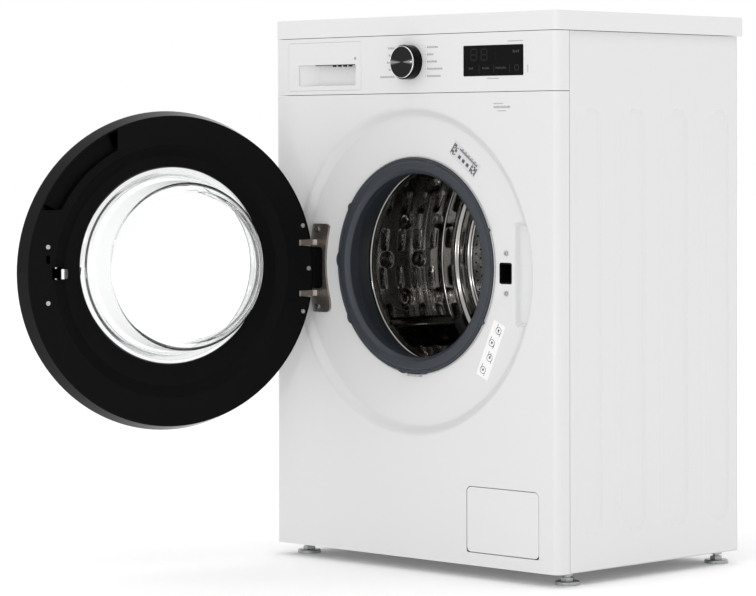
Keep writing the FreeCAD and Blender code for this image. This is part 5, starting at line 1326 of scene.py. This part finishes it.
class SheetSettings(bpy.types.PropertyGroup):
    """Pressed front and sides."""

    dish_depth: length("Dish depth", "Depth of the round dish behind the door", 0.011)
    dish_radius: length("Dish radius", "Outer radius of the dish", 0.252)
    dish_slope: length("Dish slope", "Width of the dish's sloping wall", 0.017)
    scoop_depth: length("Scoop depth", "Extra depth of the finger scoop", 0.01)
    scoop_start: length("Scoop start", "Distance of the scoop from the dish's middle", 0.204)
    port_radius: length("Porthole radius", "Radius of the opening in the front", 0.15)
    corner: length("Corner", "Radius of the front's upright corners", 0.011)
    front_wrap: length("Front wrap", "How far the front folds round the sides", 0.027)
    lock_z: length("Lock height", "Height of the lock's slot above the floor", 0.46)
    rib_first: length("First rib", "Distance from the front to the rear of the first rib", 0.101)
    rib_pitch: length("Rib pitch", "Distance between ribs", 0.1)
    rib_width: length("Rib width", "Width of a rib", 0.066)
    rib_depth: length("Rib depth", "Depth of a rib", 0.0024)
    rib_bottom: length("Rib bottom", "Height of a rib's lower end", 0.07)
    rib_top: length("Rib top", "Height of a rib's upper end", 0.7066)


class SpringSettings(bpy.types.PropertyGroup):
    """Suspension springs."""

    wire_radius: length("Wire radius", "Radius of the spring wire", 0.0016)
    spring_turns: IntProperty(name="Turns", description="Number of turns in each spring", default=24, min=4,
                              max=60)


# ---------------------------------------------------------------- operators

class WASHER_OT_finishes(bpy.types.Operator):
    """Give every CAD part its finish."""

    bl_idname = "washer.finishes"
    bl_label = "Finishes"

    def execute(self, context):
        give_finishes()
        return {"FINISHED"}


class WASHER_OT_stage(bpy.types.Operator):
    """Make the floor, the surround, the light and the camera."""

    bl_idname = "washer.stage"
    bl_label = "Stage"

    def execute(self, context):
        build_stage(context.scene.washer_stage)
        return {"FINISHED"}


class WASHER_OT_drum(bpy.types.Operator):
    """Build the pressed drum and its rear wall."""

    bl_idname = "washer.drum"
    bl_label = "Drum"

    def execute(self, context):
        build_drum(context.scene.washer_drum)
        return {"FINISHED"}


class WASHER_OT_window(bpy.types.Operator):
    """Build the door's cover and the polished band round its window."""

    bl_idname = "washer.window"
    bl_label = "Door window"

    def execute(self, context):
        build_window(context.scene.washer_window)
        return {"FINISHED"}


class WASHER_OT_knob(bpy.types.Operator):
    """Build the program knob."""

    bl_idname = "washer.knob"
    bl_label = "Knob"

    def execute(self, context):
        build_knob(context.scene.washer_console)
        return {"FINISHED"}


class WASHER_OT_printing(bpy.types.Operator):
    """Print the plain marks of the console and the display."""

    bl_idname = "washer.printing"
    bl_label = "Printing"

    def execute(self, context):
        build_printing(context.scene.washer_console)
        return {"FINISHED"}


class WASHER_OT_stickers(bpy.types.Operator):
    """Add the notice and the strip of signs in the dish, and the marks below the console."""

    bl_idname = "washer.stickers"
    bl_label = "Stickers"

    def execute(self, context):
        build_stickers(context.scene.washer_sheet)
        return {"FINISHED"}


class WASHER_OT_front(bpy.types.Operator):
    """Build the pressed front."""

    bl_idname = "washer.front"
    bl_label = "Front"

    def execute(self, context):
        build_front(context.scene.washer_sheet)
        return {"FINISHED"}


class WASHER_OT_sides(bpy.types.Operator):
    """Build the two ribbed sides."""

    bl_idname = "washer.sides"
    bl_label = "Sides"

    def execute(self, context):
        build_sides(context.scene.washer_sheet)
        return {"FINISHED"}


class WASHER_OT_gasket(bpy.types.Operator):
    """Build the rubber boot round the porthole."""

    bl_idname = "washer.gasket"
    bl_label = "Door boot"

    def execute(self, context):
        build_gasket(context.scene.washer_sheet)
        return {"FINISHED"}


class WASHER_OT_pull(bpy.types.Operator):
    """Add the painted shade of the drawer's pull: a dark strip under its lip and dark blocks in its vents."""

    bl_idname = "washer.pull"
    bl_label = "Drawer pull"

    def execute(self, context):
        build_pull()
        return {"FINISHED"}


class WASHER_OT_springs(bpy.types.Operator):
    """Wind the two suspension springs."""

    bl_idname = "washer.springs"
    bl_label = "Springs"

    def execute(self, context):
        build_springs(context.scene.washer_spring)
        return {"FINISHED"}


class WASHER_OT_hoses(bpy.types.Operator):
    """Build the two rubber hoses of the tub."""

    bl_idname = "washer.hoses"
    bl_label = "Hoses"

    def execute(self, context):
        build_hoses()
        return {"FINISHED"}


GROUPS = {
    "washer_finish": (FinishSettings, (WASHER_OT_finishes,)),
    "washer_stage": (StageSettings, (WASHER_OT_stage,)),
    "washer_drum": (DrumSettings, (WASHER_OT_drum,)),
    "washer_window": (WindowSettings, (WASHER_OT_window,)),
    "washer_console": (ConsoleSettings, (WASHER_OT_knob, WASHER_OT_printing)),
    "washer_sheet": (SheetSettings, (WASHER_OT_stickers, WASHER_OT_front, WASHER_OT_sides, WASHER_OT_gasket,
                                     WASHER_OT_pull)),
    "washer_spring": (SpringSettings, (WASHER_OT_springs, WASHER_OT_hoses)),
}


class WASHER_PT_pieces(bpy.types.Panel):
    """Every group of settings with the operators that use it."""

    bl_idname = "WASHER_PT_pieces"
    bl_label = "Front Load Washer"
    bl_space_type = "VIEW_3D"
    bl_region_type = "UI"
    bl_category = "Washer"

    def draw(self, context):
        for name, (group, operators) in GROUPS.items():
            box = self.layout.box()
            for setting in group.__annotations__:
                box.prop(getattr(context.scene, name), setting)
            for operator in operators:
                box.operator(operator.bl_idname)


def all_classes():
    """Every class Blender has to know, settings first."""
    found = []
    for group, operators in GROUPS.values():
        found += [group, *operators]
    return found + [WASHER_PT_pieces]


def register():
    for kind in all_classes():
        bpy.utils.register_class(kind)
    for name, (group, _) in GROUPS.items():
        setattr(bpy.types.Scene, name, PointerProperty(type=group))


def unregister():
    for name in GROUPS:
        delattr(bpy.types.Scene, name)
    for kind in reversed(all_classes()):
        bpy.utils.unregister_class(kind)


def main():
    """Build everything."""
    register()
    bpy.ops.washer.finishes()
    bpy.ops.washer.stage()
    bpy.ops.washer.drum()
    bpy.ops.washer.window()
    bpy.ops.washer.knob()
    bpy.ops.washer.printing()
    bpy.ops.washer.stickers()
    bpy.ops.washer.front()
    bpy.ops.washer.sides()
    bpy.ops.washer.gasket()
    bpy.ops.washer.pull()
    bpy.ops.washer.springs()
    bpy.ops.washer.hoses()


if __name__ == "__main__":
    main()
